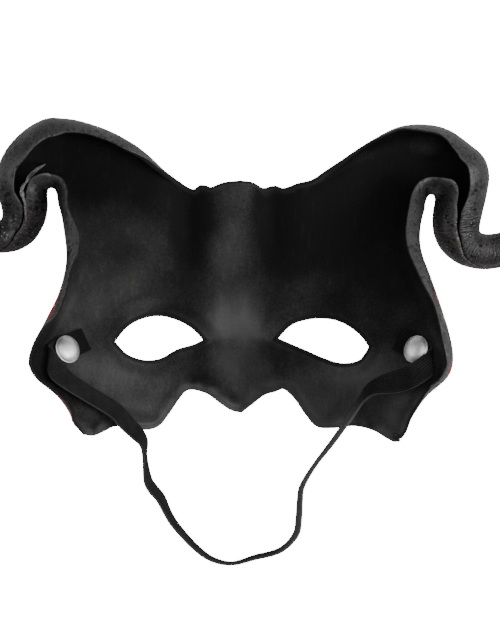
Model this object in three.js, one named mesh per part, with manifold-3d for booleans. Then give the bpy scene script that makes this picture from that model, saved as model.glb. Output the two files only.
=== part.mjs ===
// A devil half mask of moulded leather: a black inside, a red face and two black horns rolled from the same
// piece. An elastic strap is riveted to it at the temples. All sizes are in millimetres.
//
// The mask lies face down on the tip of the nose and the fronts of the two horns, with its hollow side up.
// +Z is up, towards the wearer's face. +Y is towards the forehead, and +X is to the right as the hollow side
// is seen from above. "Left" and "right" are meant in that view.

import * as THREE from 'three';
import { mergeVertices } from 'three/addons/utils/BufferGeometryUtils.js';
import Module from 'manifold-3d';

const wasm = await Module();
wasm.setup();

// Driving dimensions
const leather = 3.0;          // thickness of the leather
const tipLeather = 1.4;       // it is pared down to this at the tips of the horns
const seamGap = 0.7;          // between the lips of a rolled horn

// How finely the leather is divided
const across = 15;            // columns from the centre line to the side edge
const sideRows = 19;          // rows up the side edge, from the cheek to the notch beside the horn
const gateRows = 4;           // rows that run on into the horn
const hornSteps = 20;         // sections of a horn
const rimSteps = 5;           // steps across the turned-up rim
const rowCount = sideRows + gateRows;

// Outline of the leather as seen from above. Each half is given with x counted away from the centre line.
// bottom runs from the tip of the nose to the corner of the cheek, side from there up to the round end of
// the notch beside the horn, and top from the middle of the forehead to the crown of the horn. A row of horn
// is one section of it: x, y of its side towards the notch, then x, y of its outer side. The first row lies
// before the horn's root, and only bends the curve.
const rightHalf = {
  sign: 1,
  bottom: [[0, -55.8], [4, -52.8], [9.5, -48.6], [14, -47.2], [17.6, -46], [22, -49.8], [26.5, -56.2],
    [31.5, -61.4], [39, -61.9], [47, -61], [55, -62.8], [60.5, -66], [64.6, -68]],
  side: [[64.6, -68], [69, -63.8], [71.8, -57.2], [77.8, -48.4], [85.8, -41], [88.4, -33.8], [87, -22.8],
    [83.6, -11], [79.4, 1.5], [75.6, 13], [75.7, 23], [78.96, 34.6]],
  notch: { x: 80, y: 34, radius: 1.2, from: 150 },
  top: [[0, 41.7], [5.2, 41], [9.8, 38.6], [14.2, 39.6], [18.2, 38.6], [24, 40.6], [31.1, 42.6],
    [40.5, 49.3], [53.5, 58], [65.1, 64], [73, 65.5], [80, 65.3]],
  horn: [[79.4, 35.04, 72, 65.5], [80, 35.2, 80, 65.3], [80.6, 35.04, 88.5, 63.4], [81.04, 34.6, 95.8, 58.4], [81.2, 34, 102, 52.5],
    [81.3, 32.5, 104.5, 45.5], [81.1, 29, 103.8, 38], [80.8, 24, 102.3, 30.5], [81.6, 18.5, 101, 24.5],
    [84.6, 12.6, 100.8, 21], [90.5, 7.5, 102.3, 19.5], [98, 5, 105.6, 19.3], [105.5, 4.7, 109.5, 20],
    [113.5, 6.5, 113.5, 21.5], [121.5, 11, 117.8, 24.3], [127.8, 18.5, 121.8, 28.8],
    [130.8, 27.5, 125.4, 33.3], [130.8, 35.5, 127.4, 37.1]],
};
const leftHalf = {
  sign: -1,
  bottom: [[0, -55.8], [4.2, -54.6], [8.6, -51.6], [14, -47.8], [21.2, -46.2], [25.2, -50], [29.4, -55.8],
    [34.4, -61.4], [41, -62.6], [51, -61], [57, -63.4], [61, -65], [65, -64.4]],
  side: [[65, -64.4], [69.4, -60.8], [71.8, -55], [76.4, -48.4], [84.6, -41.4], [88.2, -35], [86.4, -27],
    [81, -16.6], [75.4, -4.4], [73, 8], [74.2, 22], [78.05, 37.24]],
  notch: { x: 79.3, y: 36.6, radius: 1.4, from: 153 },
  top: [[0, 41.7], [7, 41], [12.6, 38.8], [16.4, 40], [20.6, 38.2], [30, 44.6], [40.7, 54.3], [50.4, 60.6],
    [60, 64.8], [69.7, 67.6], [79.3, 68.5]],
  horn: [[78.6, 37.81, 70.2, 67.5], [79.3, 38, 79.3, 68.5], [80, 37.81, 87.5, 65.6], [80.5, 37.3, 94.8, 59.8], [80.7, 36.6, 100, 52.5],
    [80.9, 34, 102.6, 45], [81.1, 30.5, 102.3, 38], [81.8, 26, 100.9, 32], [83.6, 21.6, 100.3, 28.5],
    [87, 16.5, 101, 25.6], [92.5, 13, 103.4, 24.8], [99, 11.6, 107, 25.6], [106, 12, 110.8, 27.1],
    [113.5, 14.3, 114.6, 29.4], [120.5, 18.8, 118.2, 32.6], [126.5, 26, 121.6, 36.6],
    [129.8, 34.5, 124.9, 41], [130.2, 42, 126.8, 44.3]],
};

// Eye holes, anticlockwise from the inner corner on the right and from the outer corner on the left
const eyes = [
  { points: [[53.3, -27.8], [49.4, -22.8], [42.1, -17.7], [35, -16], [27, -16.7], [20.6, -19.4],
    [14.7, -25.4], [20.6, -26.9], [27, -29.4], [34, -32.5], [42, -34.8], [49.4, -33.3]], corners: [0, 6] },
  { points: [[-14.7, -25.9], [-19.5, -21], [-25.5, -17.2], [-33, -15], [-40.5, -16], [-47.2, -19.8],
    [-52.2, -25.6], [-47.4, -30.6], [-40.5, -33.4], [-33.5, -33], [-26, -29.1], [-19.5, -27.4]],
  corners: [0, 6] },
];

// Height of the middle of the leather at places of the face, the same on both sides: x, y, height
const heights = [
  [0, -54, 3.1], [0, -46, 5.1], [0, -36, 10.5], [0, -26, 20], [0, -16, 23], [0, -4, 20.5], [0, 12, 16.5],
  [0, 28, 14], [0, 41, 13.5], [10, -47, 8], [17.5, -44, 15.5], [15, -26, 23.5], [9, -36, 15],
  [34, -34, 29], [52, -29, 38], [34, -14, 25], [34, -2, 21], [20, 4, 18.5], [34, 14, 17.5],
  [22, 32, 13], [36, 40, 11], [50, 2, 26], [50, 22, 15.5], [52, 44, 8],
  [30, -56, 25], [45, -58, 31], [60, -62, 41], [64, -44, 46], [73, -29, 51], [79, -33, 56], [70, -12, 43],
  [66, 6, 30], [65, 22, 17.5], [68, 38, 7], [68, 50, 3.5], [80, 47, 1.7], [80, 56, 1.9],
];

// Rim of the leather along an edge, at a fraction of the edge's length: depth is how far in from the outline
// the leather begins to turn up, rise is how far it has risen where it stands upright, over and lift are how
// far it leans back over the hollow from there and how much higher it ends, and close says how far round it
// turns, from -1 for not at all through 0 for upright to 1 for rolled over.
const plainRim = [[0, 3, 0.3, 0, 0, -0.6], [1, 3, 0.3, 0, 0, -0.6]];
rightHalf.sideRim = [[0, 3, 0.3, 0, 0, -0.6], [0.14, 3.6, 2, 1.6, 1.5, 0.02], [0.34, 5.4, 4, 2.6, 3.4, 0.3],
  [0.44, 7, 6.6, 3.5, 6, 0.4], [0.58, 8.4, 8.9, 3.2, 8, 0.4], [0.7, 9.2, 10.5, 4.6, 9, 0.45],
  [0.88, 9.2, 11, 5.8, 10, 0.55], [1, 9, 11, 6.9, 10, 0.65]];
leftHalf.sideRim = [[0, 3, 0.3, 0, 0, -0.6], [0.045, 3.4, 1.6, 1.7, 1.4, 0.05], [0.14, 3.6, 2, 2, 1.7, 0.05],
  [0.2, 4, 2.4, 1.6, 1.8, 0.05], [0.34, 5, 3.6, 1.6, 2.6, 0.16],
  [0.46, 7, 7, 1.7, 6, 0.3], [0.54, 8, 8.2, 3.5, 7.5, 0.4], [0.68, 9, 10.2, 3, 8.8, 0.45],
  [0.8, 9.2, 10.8, 5.6, 9.6, 0.55], [0.92, 9.2, 11, 4, 10, 0.55], [1, 9, 11, 5.8, 10, 0.65]];
rightHalf.topRim = [[0, 3, 0.3, 0, 0, -0.6], [0.4, 3.4, 1, 0, 0, -0.5], [0.62, 6, 4, 1.5, 3, 0.02],
  [0.82, 10, 8.5, 2, 6, 0.35], [1, 12, 11, 3.5, 8, 0.4]];
leftHalf.topRim = [[0, 3, 0.3, 0, 0, -0.6], [0.34, 3.4, 1, 0, 0, -0.5], [0.46, 5.5, 3.6, 2, 3.4, 0.2],
  [0.64, 8.4, 7.2, 4.1, 6.8, 0.5], [0.8, 10, 9, 4.6, 8.5, 0.55], [0.91, 11.4, 10.4, 5.7, 9.8, 0.6],
  [1, 12, 11, 7.8, 10.5, 0.7]];

// A horn along its length: fraction, height of the middle of the leather on its underside, then the angles,
// counted from straight down, at which the leather ends on the side of the notch and on the outer side
rightHalf.roll = [[0, 1.7, 156, 196], [0.06, 1.7, 160, 186], [0.125, 1.7, 168, 171], [0.18, 1.7, 172, 162],
  [0.3, 1.8, 172, 167], [0.38, 2, 178, 177], [0.48, 2.3, 180, 180], [0.66, 3.4, 120, 240],
  [0.82, 8, 116, 244], [0.92, 14, 150, 210], [1, 19, 180, 180]];
leftHalf.roll = [[0, 1.7, 156, 166], [0.06, 1.7, 168, 168], [0.12, 1.7, 166, 168], [0.2, 1.73, 168, 161],
  [0.28, 1.8, 171, 165], [0.36, 1.95, 177, 183], [0.5, 2.6, 177, 183], [0.66, 3.6, 120, 240],
  [0.82, 8, 116, 244], [0.92, 14, 150, 210], [1, 19, 180, 180]];
const floorAngle = 32;        // the leather under a horn spans this far to each side of straight down
const channelEnd = 0.24;      // fraction of its length in which a horn turns from a channel to a round roll

// The elastic strap: x, y, z of its middle, then the direction across its width. Its left end lies under the
// left rivet, it folds back at the temple, hangs over the cheek, lies on edge in a loop on the floor, and
// comes back to the right rivet in the same way.
const strapWidth = 10;
const strapThickness = 1.2;
const strapSteps = 66;
const strapRoute = [
  [-64.5, -24.8, 47.6, -0.42, 0.91, 0.03], [-71.8, -28.1, 52.9, -0.42, 0.91, 0],
  [-76.2, -30.2, 56.5, -0.35, 0.93, -0.08], [-78.6, -31.5, 58.3, -0.2, 0.97, -0.17],
  [-79.8, -32.2, 59.9, 0, 0.97, -0.23], [-79, -33.7, 61.3, 0.24, 0.93, -0.26],
  [-75.8, -38.2, 60.3, 0.44, 0.72, -0.52], [-71.4, -42.4, 57.5, 0.42, 0.56, -0.72],
  [-62.4, -48.3, 51.2, 0.4, 0.52, -0.75], [-52.7, -54.4, 43.8, 0.4, 0.52, -0.75],
  [-47.9, -59.6, 40, 0.44, 0.46, -0.77], [-43.3, -64.3, 36.8, 0.42, 0.38, -0.82],
  [-40.5, -68.3, 33, 0.28, 0.24, -0.93], [-40.1, -74.1, 26.5, 0.12, 0.05, -0.99],
  [-39, -83.8, 15, 0.28, 0.15, -0.95], [-36.8, -88, 10.6, 0.33, 0.22, -0.92],
  [-33.6, -92, 7.6, 0.3, 0.2, -0.93], [-30.9, -97.7, 5.8, 0.25, 0.13, -0.96],
  [-27.3, -103.5, 5.4, 0.22, 0.13, -0.97], [-19.2, -112.4, 5.3, 0.14, 0.14, -0.98],
  [-12, -117.6, 5.3, 0.06, 0.12, -0.99], [-3.6, -119.4, 5.3, 0, 0.06, -1],
  [6.3, -116.8, 5.3, -0.03, 0.12, -0.99], [16.6, -113.9, 5.3, -0.06, 0.12, -0.99],
  [23.2, -107.4, 5.3, -0.18, 0.06, -0.98], [24.6, -100, 5.6, -0.2, 0, -0.98],
  [25, -93, 7.8, -0.18, 0, -0.98], [26, -86.6, 12.6, -0.14, 0.04, -0.99],
  [31.3, -77.5, 22.5, -0.08, 0.05, -0.99], [39.3, -66.8, 34, -0.1, 0.1, -0.99],
  [46.7, -56, 41, -0.12, 0.14, -0.98], [50.6, -50, 44.4, -0.15, 0.2, -0.97],
  [55.2, -45.4, 47, -0.24, 0.5, -0.83], [65.2, -42.4, 54.2, -0.33, 0.9, -0.28],
  [71.6, -39.9, 60.4, -0.26, 0.95, -0.16], [78.3, -35.3, 61.9, -0.24, 0.95, -0.21],
  [79.4, -33.2, 60.3, 0, 0.98, -0.18], [78.3, -32.1, 58.3, 0.2, 0.97, -0.14],
  [74.8, -29.4, 55.4, 0.4, 0.92, -0.05], [65.5, -24.8, 48.2, 0.42, 0.91, 0.02],
];

// Rivets: where the axis meets the middle of the leather, and the profile of a rivet from its outer head up
// to the domed head on the hollow side, as radius and distance from the middle of the leather
const rivets = [{ name: 'rivet_left', at: [-74.1, -29.9] }, { name: 'rivet_right', at: [75.1, -29.9] }];
const rivetSides = 16;
const postRadius = 1.7;
const holeRadius = 2.05;
const rivetProfile = [[0, -4.4], [3.6, -4], [5.3, -3], [5.2, -2.3], [1.7, -2.3], [1.7, 3.4], [5.75, 3.4],
  [5.9, 4.2], [4.5, 5.4], [2.3, 6.1], [0, 6.3]];

// The box of the mask is centred over the origin and stands on the floor
const centreShift = [-0.42, -0.2, -0.02];

const smooth = (low, high, value) => {
  const f = Math.min(1, Math.max(0, (value - low) / (high - low)));
  return f * f * (3 - 2 * f);
};
const mix = (a, b, f) => a.map((value, k) => value + (b[k] - value) * f);
const radians = degrees => degrees * Math.PI / 180;
const steps = count => Array.from({ length: count + 1 }, (_, k) => k);

// A smooth curve through rows of numbers, at t from 0 to 1
function curveThrough(rows, t) {
  const last = rows.length - 1;
  const i = Math.min(Math.floor(t * last), last - 1);
  const f = t * last - i;
  const row = k => rows[Math.max(0, Math.min(last, k))];
  return rows[0].map((_, c) => {
    const [p, q, r, s] = [row(i - 1)[c], row(i)[c], row(i + 1)[c], row(i + 2)[c]];
    const [square, cube] = [2 * p - 5 * q + 4 * r - s, 3 * q - p - 3 * r + s];
    return 0.5 * (2 * q + (r - p) * f + square * f * f + cube * f ** 3);
  });
}

// Values between the rows of a table whose first column is a fraction of a length
function valuesAt(table, fraction) {
  let k = 0;
  while (k < table.length - 2 && fraction > table[k + 1][0]) k += 1;
  return mix(table[k], table[k + 1], smooth(table[k][0], table[k + 1][0], fraction)).slice(1);
}

// Picks count + 1 of the items, evenly spaced by the distance between their places
function evenly(items, count, place) {
  let walked = 0;
  const lengths = items.map((item, k) => {
    if (k) {
      const [a, b] = [place(items[k - 1]), place(item)];
      walked += Math.hypot(b[0] - a[0], b[1] - a[1]);
    }
    return walked;
  });
  return steps(count).map(step => {
    const found = lengths.findIndex(length => length >= walked * step / count - 1e-6);
    return items[Math.max(0, found)];
  });
}

// A thin plate bent through the given heights: the height is a sum of r * r * log(r) terms and a plane
function plateThrough(points) {
  const kernel = (dx, dy) => {
    const square = dx * dx + dy * dy;
    return square > 0 ? 0.5 * square * Math.log(square) : 0;
  };
  const size = points.length + 3;
  const rows = points.map(([x, y, z]) => [...points.map(([u, v]) => kernel(x - u, y - v)), 1, x, y, z]);
  for (let k = 0; k < 3; k += 1) rows.push([...points.map(p => [1, p[0], p[1]][k]), 0, 0, 0, 0]);
  for (let column = 0; column < size; column += 1) {
    let pivot = column;
    for (let r = column + 1; r < size; r += 1) {
      if (Math.abs(rows[r][column]) > Math.abs(rows[pivot][column])) pivot = r;
    }
    [rows[column], rows[pivot]] = [rows[pivot], rows[column]];
    for (let r = 0; r < size; r += 1) {
      const factor = r === column ? 0 : rows[r][column] / rows[column][column];
      for (let c = column; factor && c <= size; c += 1) rows[r][c] -= factor * rows[column][c];
    }
  }
  const weights = rows.map((row, r) => row[size] / row[r]);
  const [level, slopeX, slopeY] = weights.slice(points.length);
  return (x, y) => points.reduce((sum, [u, v], k) => sum + weights[k] * kernel(x - u, y - v),
    level + slopeX * x + slopeY * y);
}

const mirrored = heights.filter(([x]) => x > 0).map(([x, y, z]) => [-x, y, z]);
const plate = plateThrough([...heights, ...mirrored]);

// Height of the middle of the leather over a place of the plan, with the two furrows of the forehead and
// the fold where the nose and the cheeks begin
function heightAt([x, y]) {
  const furrows = 4.4 * Math.exp(-(((x + 23) / 7.5) ** 2)) + 5 * Math.exp(-(((x - 12.5) / 8) ** 2));
  const furrowed = smooth(-6, 22, y) * smooth(52, 36, y);
  const foldTop = -23 - 0.014 * x * x;
  const fold = 1.6 * smooth(0, 5, foldTop - y) * smooth(34, 22, Math.abs(x));
  return plate(x, y) - furrows * furrowed - fold;
}

// Direction away from the leather on its hollow side
function normalAt([x, y]) {
  const slopeX = (heightAt([x + 1, y]) - heightAt([x - 1, y])) / 2;
  const slopeY = (heightAt([x, y + 1]) - heightAt([x, y - 1])) / 2;
  return new THREE.Vector3(-slopeX, -slopeY, 1).normalize();
}

// The stations of an edge: its outline, the crease line inside it, and the rim between them. turn is 1 where
// the leather lies to the left of the edge's direction and -1 where it lies to the right.
function edgeStations(points, rims, count, turn, sign, notch) {
  const outline = steps(480).map(k => curveThrough(points, k / 480));
  for (let angle = notch ? notch.from - 1 : 0; notch && angle >= 90; angle -= 1) {
    const [alongX, alongY] = [Math.cos(radians(angle)), Math.sin(radians(angle))];
    outline.push([notch.x + notch.radius * alongX, notch.y + notch.radius * alongY]);
  }
  let walked = 0;
  const lengths = outline.map((p, k) => {
    walked += k ? Math.hypot(p[0] - outline[k - 1][0], p[1] - outline[k - 1][1]) : 0;
    return walked;
  });
  const stations = outline.map((p, k) => {
    const before = outline[Math.max(0, k - 1)];
    const after = outline[Math.min(outline.length - 1, k + 1)];
    const length = Math.hypot(after[0] - before[0], after[1] - before[1]);
    const outward = [turn * (after[1] - before[1]) / length, turn * (before[0] - after[0]) / length];
    const rim = valuesAt(rims, lengths[k] / walked);
    const crease = [sign * (p[0] - rim[0] * outward[0]), p[1] - rim[0] * outward[1]];
    return { crease, outward: [sign * outward[0], outward[1]], rim };
  });
  return evenly(stations, count, station => station.crease);
}

// The points of a rim from the crease line to the free edge
function rimPoints(crease, outward, [depth, rise, over, lift, close], thickness) {
  const height = heightAt(crease);
  const slope = (heightAt([crease[0] + outward[0], crease[1] + outward[1]]) - height);
  const reach = depth - thickness / 2;
  const end = radians(90 + 90 * close);
  return steps(rimSteps).slice(1).map(k => {
    const angle = end * k / rimSteps;
    let out = reach * Math.sin(angle);
    let up = rise * (1 - Math.cos(angle));
    if (close < 0) {
      out /= Math.sin(end);
      up = up / (1 - Math.cos(end)) + (k === rimSteps ? lift * (1 + close) : 0);
    } else if (angle > Math.PI / 2) {
      out = reach - Math.max(0, over - thickness / 2) * (1 - Math.sin(angle)) / (1 - Math.sin(end));
      up = rise + lift * Math.cos(angle) / Math.cos(end);
    }
    return [crease[0] + out * outward[0], crease[1] + out * outward[1], height + slope * out + up];
  });
}

// One section of a horn, from the free edge beside the notch to the outer free edge
function hornSection(half, fraction) {
  const lead = 1 / (half.horn.length - 1);
  const [inX, inY, outX, outY] = curveThrough(half.horn, lead + (1 - lead) * fraction);
  const width = Math.hypot(outX - inX, outY - inY);
  const aside = [half.sign * (outX - inX) / width, (outY - inY) / width];
  const thickness = leather + (tipLeather - leather) * smooth(0.55, 1, fraction);
  const [under, innerEnd, outerEnd] = valuesAt(half.roll, fraction);
  const radius = (width - thickness) / 2;
  const centre = [half.sign * (inX + outX) / 2, (inY + outY) / 2];
  const lip = (seamGap + thickness) / 2 / radius * 180 / Math.PI;
  const angles = [
    ...steps(rimSteps - 1).map(k => -innerEnd + lip + (innerEnd - lip - floorAngle) * k / rimSteps),
    ...steps(gateRows).map(k => floorAngle * (2 * k / gateRows - 1)),
    ...steps(rimSteps).slice(1).map(k => floorAngle + (outerEnd - lip - floorAngle) * k / rimSteps)];
  const rolled = angles.map(angle => {
    const out = radius * Math.sin(radians(angle));
    const up = under + radius * (1 - Math.cos(radians(angle)));
    return [centre[0] + out * aside[0], centre[1] + out * aside[1], up];
  });
  const section = { thickness, radius, centre, aside, under, innerEnd, outerEnd, lip, points: rolled };
  if (fraction >= channelEnd) return section;

  // near its root the horn is the open channel that the rims of the face run into
  const [, rootRow] = half.horn;
  const root = Math.hypot(rootRow[2] - rootRow[0], rootRow[3] - rootRow[1]);
  const [innerRim, outerRim] = [half.sideRim, half.topRim].map(rims => rims[rims.length - 1].slice(1));
  innerRim[0] *= width / root;
  outerRim[0] *= width / root;
  const place = distance => [half.sign * inX + distance * aside[0], inY + distance * aside[1]];
  const between = width - innerRim[0] - outerRim[0];
  const floor = steps(gateRows).map(k => place(innerRim[0] + between * k / gateRows));
  const open = [
    ...rimPoints(floor[0], aside.map(value => -value), innerRim, thickness).reverse(),
    ...floor.map(p => [...p, heightAt(p)]),
    ...rimPoints(floor[gateRows], aside, outerRim, thickness)];
  section.points = open.map((p, k) => mix(p, rolled[k], smooth(0, channelEnd, fraction)));
  return section;
}

// The middle surface of the leather: points, the thickness at each, and faces that run anticlockwise as
// seen from the hollow side
const sheet = { points: [], thickness: [], faces: [], flat: [] };

function addPoint(point, thickness = leather, flat = false) {
  sheet.points.push(point);
  sheet.thickness.push(thickness);
  if (flat) sheet.flat.push(sheet.points.length - 1);
  return sheet.points.length - 1;
}

function addFaces(columns, sign) {
  for (let i = 0; i + 1 < columns.length; i += 1) {
    for (let j = 0; j + 1 < columns[i].length; j += 1) {
      const face = [columns[i][j], columns[i + 1][j], columns[i + 1][j + 1], columns[i][j + 1]];
      sheet.faces.push(sign > 0 ? face : face.reverse());
    }
  }
}

// A rim, from the point on the crease line that it shares with the face to the free edge
function addRim({ crease, outward, rim }, shared) {
  return [shared, ...rimPoints(crease, outward, rim, leather).map(p => addPoint(p))];
}

// One half of the mask. The points of the centre line are shared by both halves.
function addHalf(half, centreLine) {
  const bottom = edgeStations(half.bottom, plainRim, across, 1, half.sign);
  const side = edgeStations(half.side, half.sideRim, sideRows, 1, half.sign, half.notch);
  const top = edgeStations(half.top, half.topRim, across, -1, half.sign);
  const sections = steps(hornSteps).map(k => hornSection(half, k / hornSteps));
  const gate = sections[0].points.slice(rimSteps, rimSteps + gateRows + 1).map(p => [p[0], p[1]]);

  // the face, between its four edges, which meet at its corners
  const right = [bottom[across].crease, ...side.slice(1, sideRows).map(station => station.crease), ...gate];
  top[across].crease = gate[gateRows];
  const left = centreLine.map(index => sheet.points[index]);
  const face = [centreLine];
  for (let i = 1; i <= across; i += 1) {
    const u = i / across;
    face.push(steps(rowCount).map(j => {
      const v = j / rowCount;
      const plan = [0, 1].map(c => (1 - v) * bottom[i].crease[c] + v * top[i].crease[c]
        + (1 - u) * left[j][c] + u * right[j][c]
        - (1 - u) * ((1 - v) * left[0][c] + v * left[rowCount][c])
        - u * ((1 - v) * right[0][c] + v * right[rowCount][c]));
      return addPoint(plan, leather, true);
    }));
  }
  addFaces(face, half.sign);

  // the leather under the horn, and the rims on both sides of it
  const horn = sections.map((section, s) => section.points.map((p, k) => {
    const row = k - rimSteps;
    if (s === 0 && row >= 0 && row <= gateRows) return face[across][sideRows + row];
    return addPoint(p, section.thickness);
  }));
  addFaces(horn, half.sign);

  // the rims of the face
  const lower = bottom.map((station, i) => (i ? addRim(station, face[i][0]) : null));
  lower[0] = half.noseRim;
  const upright = side.slice(1, sideRows).map((station, j) => addRim(station, face[across][j + 1]));
  addFaces([...lower, ...upright, horn[0].slice(0, rimSteps + 1).reverse()], -half.sign);
  const upper = top.slice(1, across).map((station, i) => addRim(station, face[i + 1][rowCount]));
  addFaces([half.browRim, ...upper, horn[0].slice(rimSteps + gateRows)], half.sign);

  // the end of the horn is rolled shut round its tip
  const tip = sections[hornSteps];
  const before = sections[hornSteps - 1];
  const forward = [tip.centre[0] - before.centre[0], tip.centre[1] - before.centre[1]];
  const length = Math.hypot(...forward);
  const fan = steps(gateRows).slice(1, gateRows).map(k => {
    const turn = Math.PI * k / gateRows;
    const end = tip.innerEnd + (tip.outerEnd - tip.innerEnd) * k / gateRows - tip.lip;
    const around = [0, 1].map(c => Math.sin(turn) * forward[c] / length - Math.cos(turn) * tip.aside[c]);
    return [horn[hornSteps][rimSteps + k], ...steps(rimSteps).slice(1).map(r => {
      const angle = radians(floorAngle + (end - floorAngle) * r / rimSteps);
      const out = tip.radius * Math.sin(angle);
      return addPoint([tip.centre[0] + out * around[0], tip.centre[1] + out * around[1],
        tip.under + tip.radius * (1 - Math.cos(angle))], tip.thickness);
    })];
  });
  const ends = horn[hornSteps];
  addFaces([ends.slice(0, rimSteps + 1).reverse(), ...fan, ends.slice(rimSteps + gateRows)], -half.sign);
}

// Cuts a hole through the face: the faces inside it go, and the points round them are moved onto a line that
// lies half the leather's thickness outside the hole, with one of them on each corner. From there the edge of
// the leather rounds into the hole.
function cutHole(eye) {
  const { corners } = eye;
  const points = eye.points.map(([x, y], k, all) => {
    const [before, after] = [all[(k + all.length - 1) % all.length], all[(k + 1) % all.length]];
    const length = Math.hypot(after[0] - before[0], after[1] - before[1]);
    const out = leather / 2 / length;
    return [x + out * (after[1] - before[1]), y - out * (after[0] - before[0])];
  });
  const closed = [...points, points[0]];
  const inCorner = k => corners.includes(k % points.length);
  const outline = [];
  points.forEach((_, k) => {
    const rows = [-1, 0, 1, 2].map(d => points[(k + d + points.length) % points.length]);
    if (inCorner(k)) rows[0] = rows[1];
    if (inCorner(k + 1)) rows[3] = rows[2];
    for (let f = 0; f < 16; f += 1) outline.push(curveThrough(rows, (1 + f / 16) / 3));
  });
  const inside = ([x, y]) => outline.reduce((odd, [ax, ay], k) => {
    const [bx, by] = outline[(k + 1) % outline.length];
    return (ay > y) !== (by > y) && x < ax + (bx - ax) * (y - ay) / (by - ay) ? !odd : odd;
  }, false);
  const middle = face => [0, 1].map(c => face.reduce((sum, index) => sum + sheet.points[index][c], 0) / 4);
  const dropped = sheet.faces.filter(face => inside(middle(face)));
  sheet.faces = sheet.faces.filter(face => !dropped.includes(face));
  const droppedEdges = new Set(dropped.flatMap(face => face.map((a, k) => `${a} ${face[(k + 1) % 4]}`)));
  const next = new Map();
  droppedEdges.forEach(edge => {
    const [a, b] = edge.split(' ').map(Number);
    if (!droppedEdges.has(`${b} ${a}`)) next.set(a, b);
  });
  const loop = [next.keys().next().value];
  while (next.get(loop[loop.length - 1]) !== loop[0]) loop.push(next.get(loop[loop.length - 1]));

  // the outline and the loop both run anticlockwise, and are cut at the corners into matching stretches
  const nearest = corner => loop.reduce((best, index, k) => {
    const place = j => sheet.points[loop[j]];
    const away = j => Math.hypot(place(j)[0] - corner[0], place(j)[1] - corner[1]);
    return away(k) < away(best) ? k : best;
  }, 0);
  const moves = corners.map((from, c) => {
    const to = corners[(c + 1) % corners.length];
    const stretch = [];
    const span = (to - from + points.length) % points.length;
    for (let k = 0; k <= span * 16; k += 1) stretch.push(outline[(from * 16 + k) % outline.length]);
    const [first, last] = [nearest(closed[from]), nearest(closed[to])];
    const links = (last - first + loop.length) % loop.length;
    return { first, places: evenly(stretch, links, p => p) };
  });
  moves.forEach(({ first, places }) => places.forEach((place, k) => {
    sheet.points[loop[(first + k) % loop.length]] = place;
  }));
  return new Set(loop);
}

// Evens out the plan of the face near the holes
function relax(fixed) {
  const neighbours = new Map();
  sheet.faces.forEach(face => face.forEach((a, k) => {
    const b = face[(k + 1) % 4];
    [[a, b], [b, a]].forEach(([p, q]) => neighbours.set(p, (neighbours.get(p) || new Set()).add(q)));
  }));
  const near = index => [...fixed].some(other => Math.hypot(sheet.points[index][0] - sheet.points[other][0],
    sheet.points[index][1] - sheet.points[other][1]) < 11);
  const free = sheet.flat.filter(index => !fixed.has(index) && neighbours.has(index) && near(index)
    && [...neighbours.get(index)].every(other => sheet.flat.includes(other)));
  for (let round = 0; round < 6; round += 1) {
    free.forEach(index => {
      const around = [...neighbours.get(index)].map(other => sheet.points[other]);
      sheet.points[index] = [0, 1].map(c => around.reduce((sum, p) => sum + p[c], 0) / around.length);
    });
  }
}

// Gives the middle surface its thickness, with a rounded edge all round, as one closed geometry
function thicken() {
  const points = sheet.points.map(p => new THREE.Vector3(...p));
  const normals = points.map(() => new THREE.Vector3());
  const edges = new Map();
  sheet.faces.forEach(face => {
    const [a, b, c, d] = face.map(index => points[index]);
    const normal = new THREE.Vector3().crossVectors(c.clone().sub(a), d.clone().sub(b));
    face.forEach((index, k) => {
      normals[index].add(normal);
      edges.set(`${index} ${face[(k + 1) % 4]}`, [index, face[(k + 1) % 4]]);
    });
  });
  normals.forEach(normal => normal.normalize());
  const free = [...edges.values()].filter(([a, b]) => !edges.has(`${b} ${a}`));
  const outward = new Map();
  free.forEach(([a, b]) => {
    [a, b].forEach(index => {
      const along = points[b].clone().sub(points[a]);
      const push = along.cross(normals[index]).normalize();
      outward.set(index, (outward.get(index) || new THREE.Vector3()).add(push));
    });
  });
  const position = [];
  const layer = place => {
    const first = position.length / 3;
    points.forEach((_, index) => position.push(...place(index).toArray()));
    return first;
  };
  const half = index => sheet.thickness[index] / 2;
  const hollowSide = layer(index => points[index].clone().addScaledVector(normals[index], half(index)));
  const faceSide = layer(index => points[index].clone().addScaledVector(normals[index], -half(index)));
  const rounded = new Map();
  outward.forEach((push, index) => {
    rounded.set(index, position.length / 3);
    position.push(...points[index].clone().addScaledVector(push.normalize(), half(index)).toArray());
  });
  const triangles = [];
  const quad = (a, b, c, d) => triangles.push(a, b, c, a, c, d);
  sheet.faces.forEach(([a, b, c, d]) => {
    quad(a + hollowSide, b + hollowSide, c + hollowSide, d + hollowSide);
    quad(d + faceSide, c + faceSide, b + faceSide, a + faceSide);
  });
  free.forEach(([a, b]) => {
    quad(b + hollowSide, a + hollowSide, rounded.get(a), rounded.get(b));
    quad(rounded.get(b), rounded.get(a), a + faceSide, b + faceSide);
  });
  const geometry = new THREE.BufferGeometry();
  geometry.setAttribute('position', new THREE.Float32BufferAttribute(position, 3));
  geometry.setIndex(triangles);
  return geometry;
}

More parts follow.
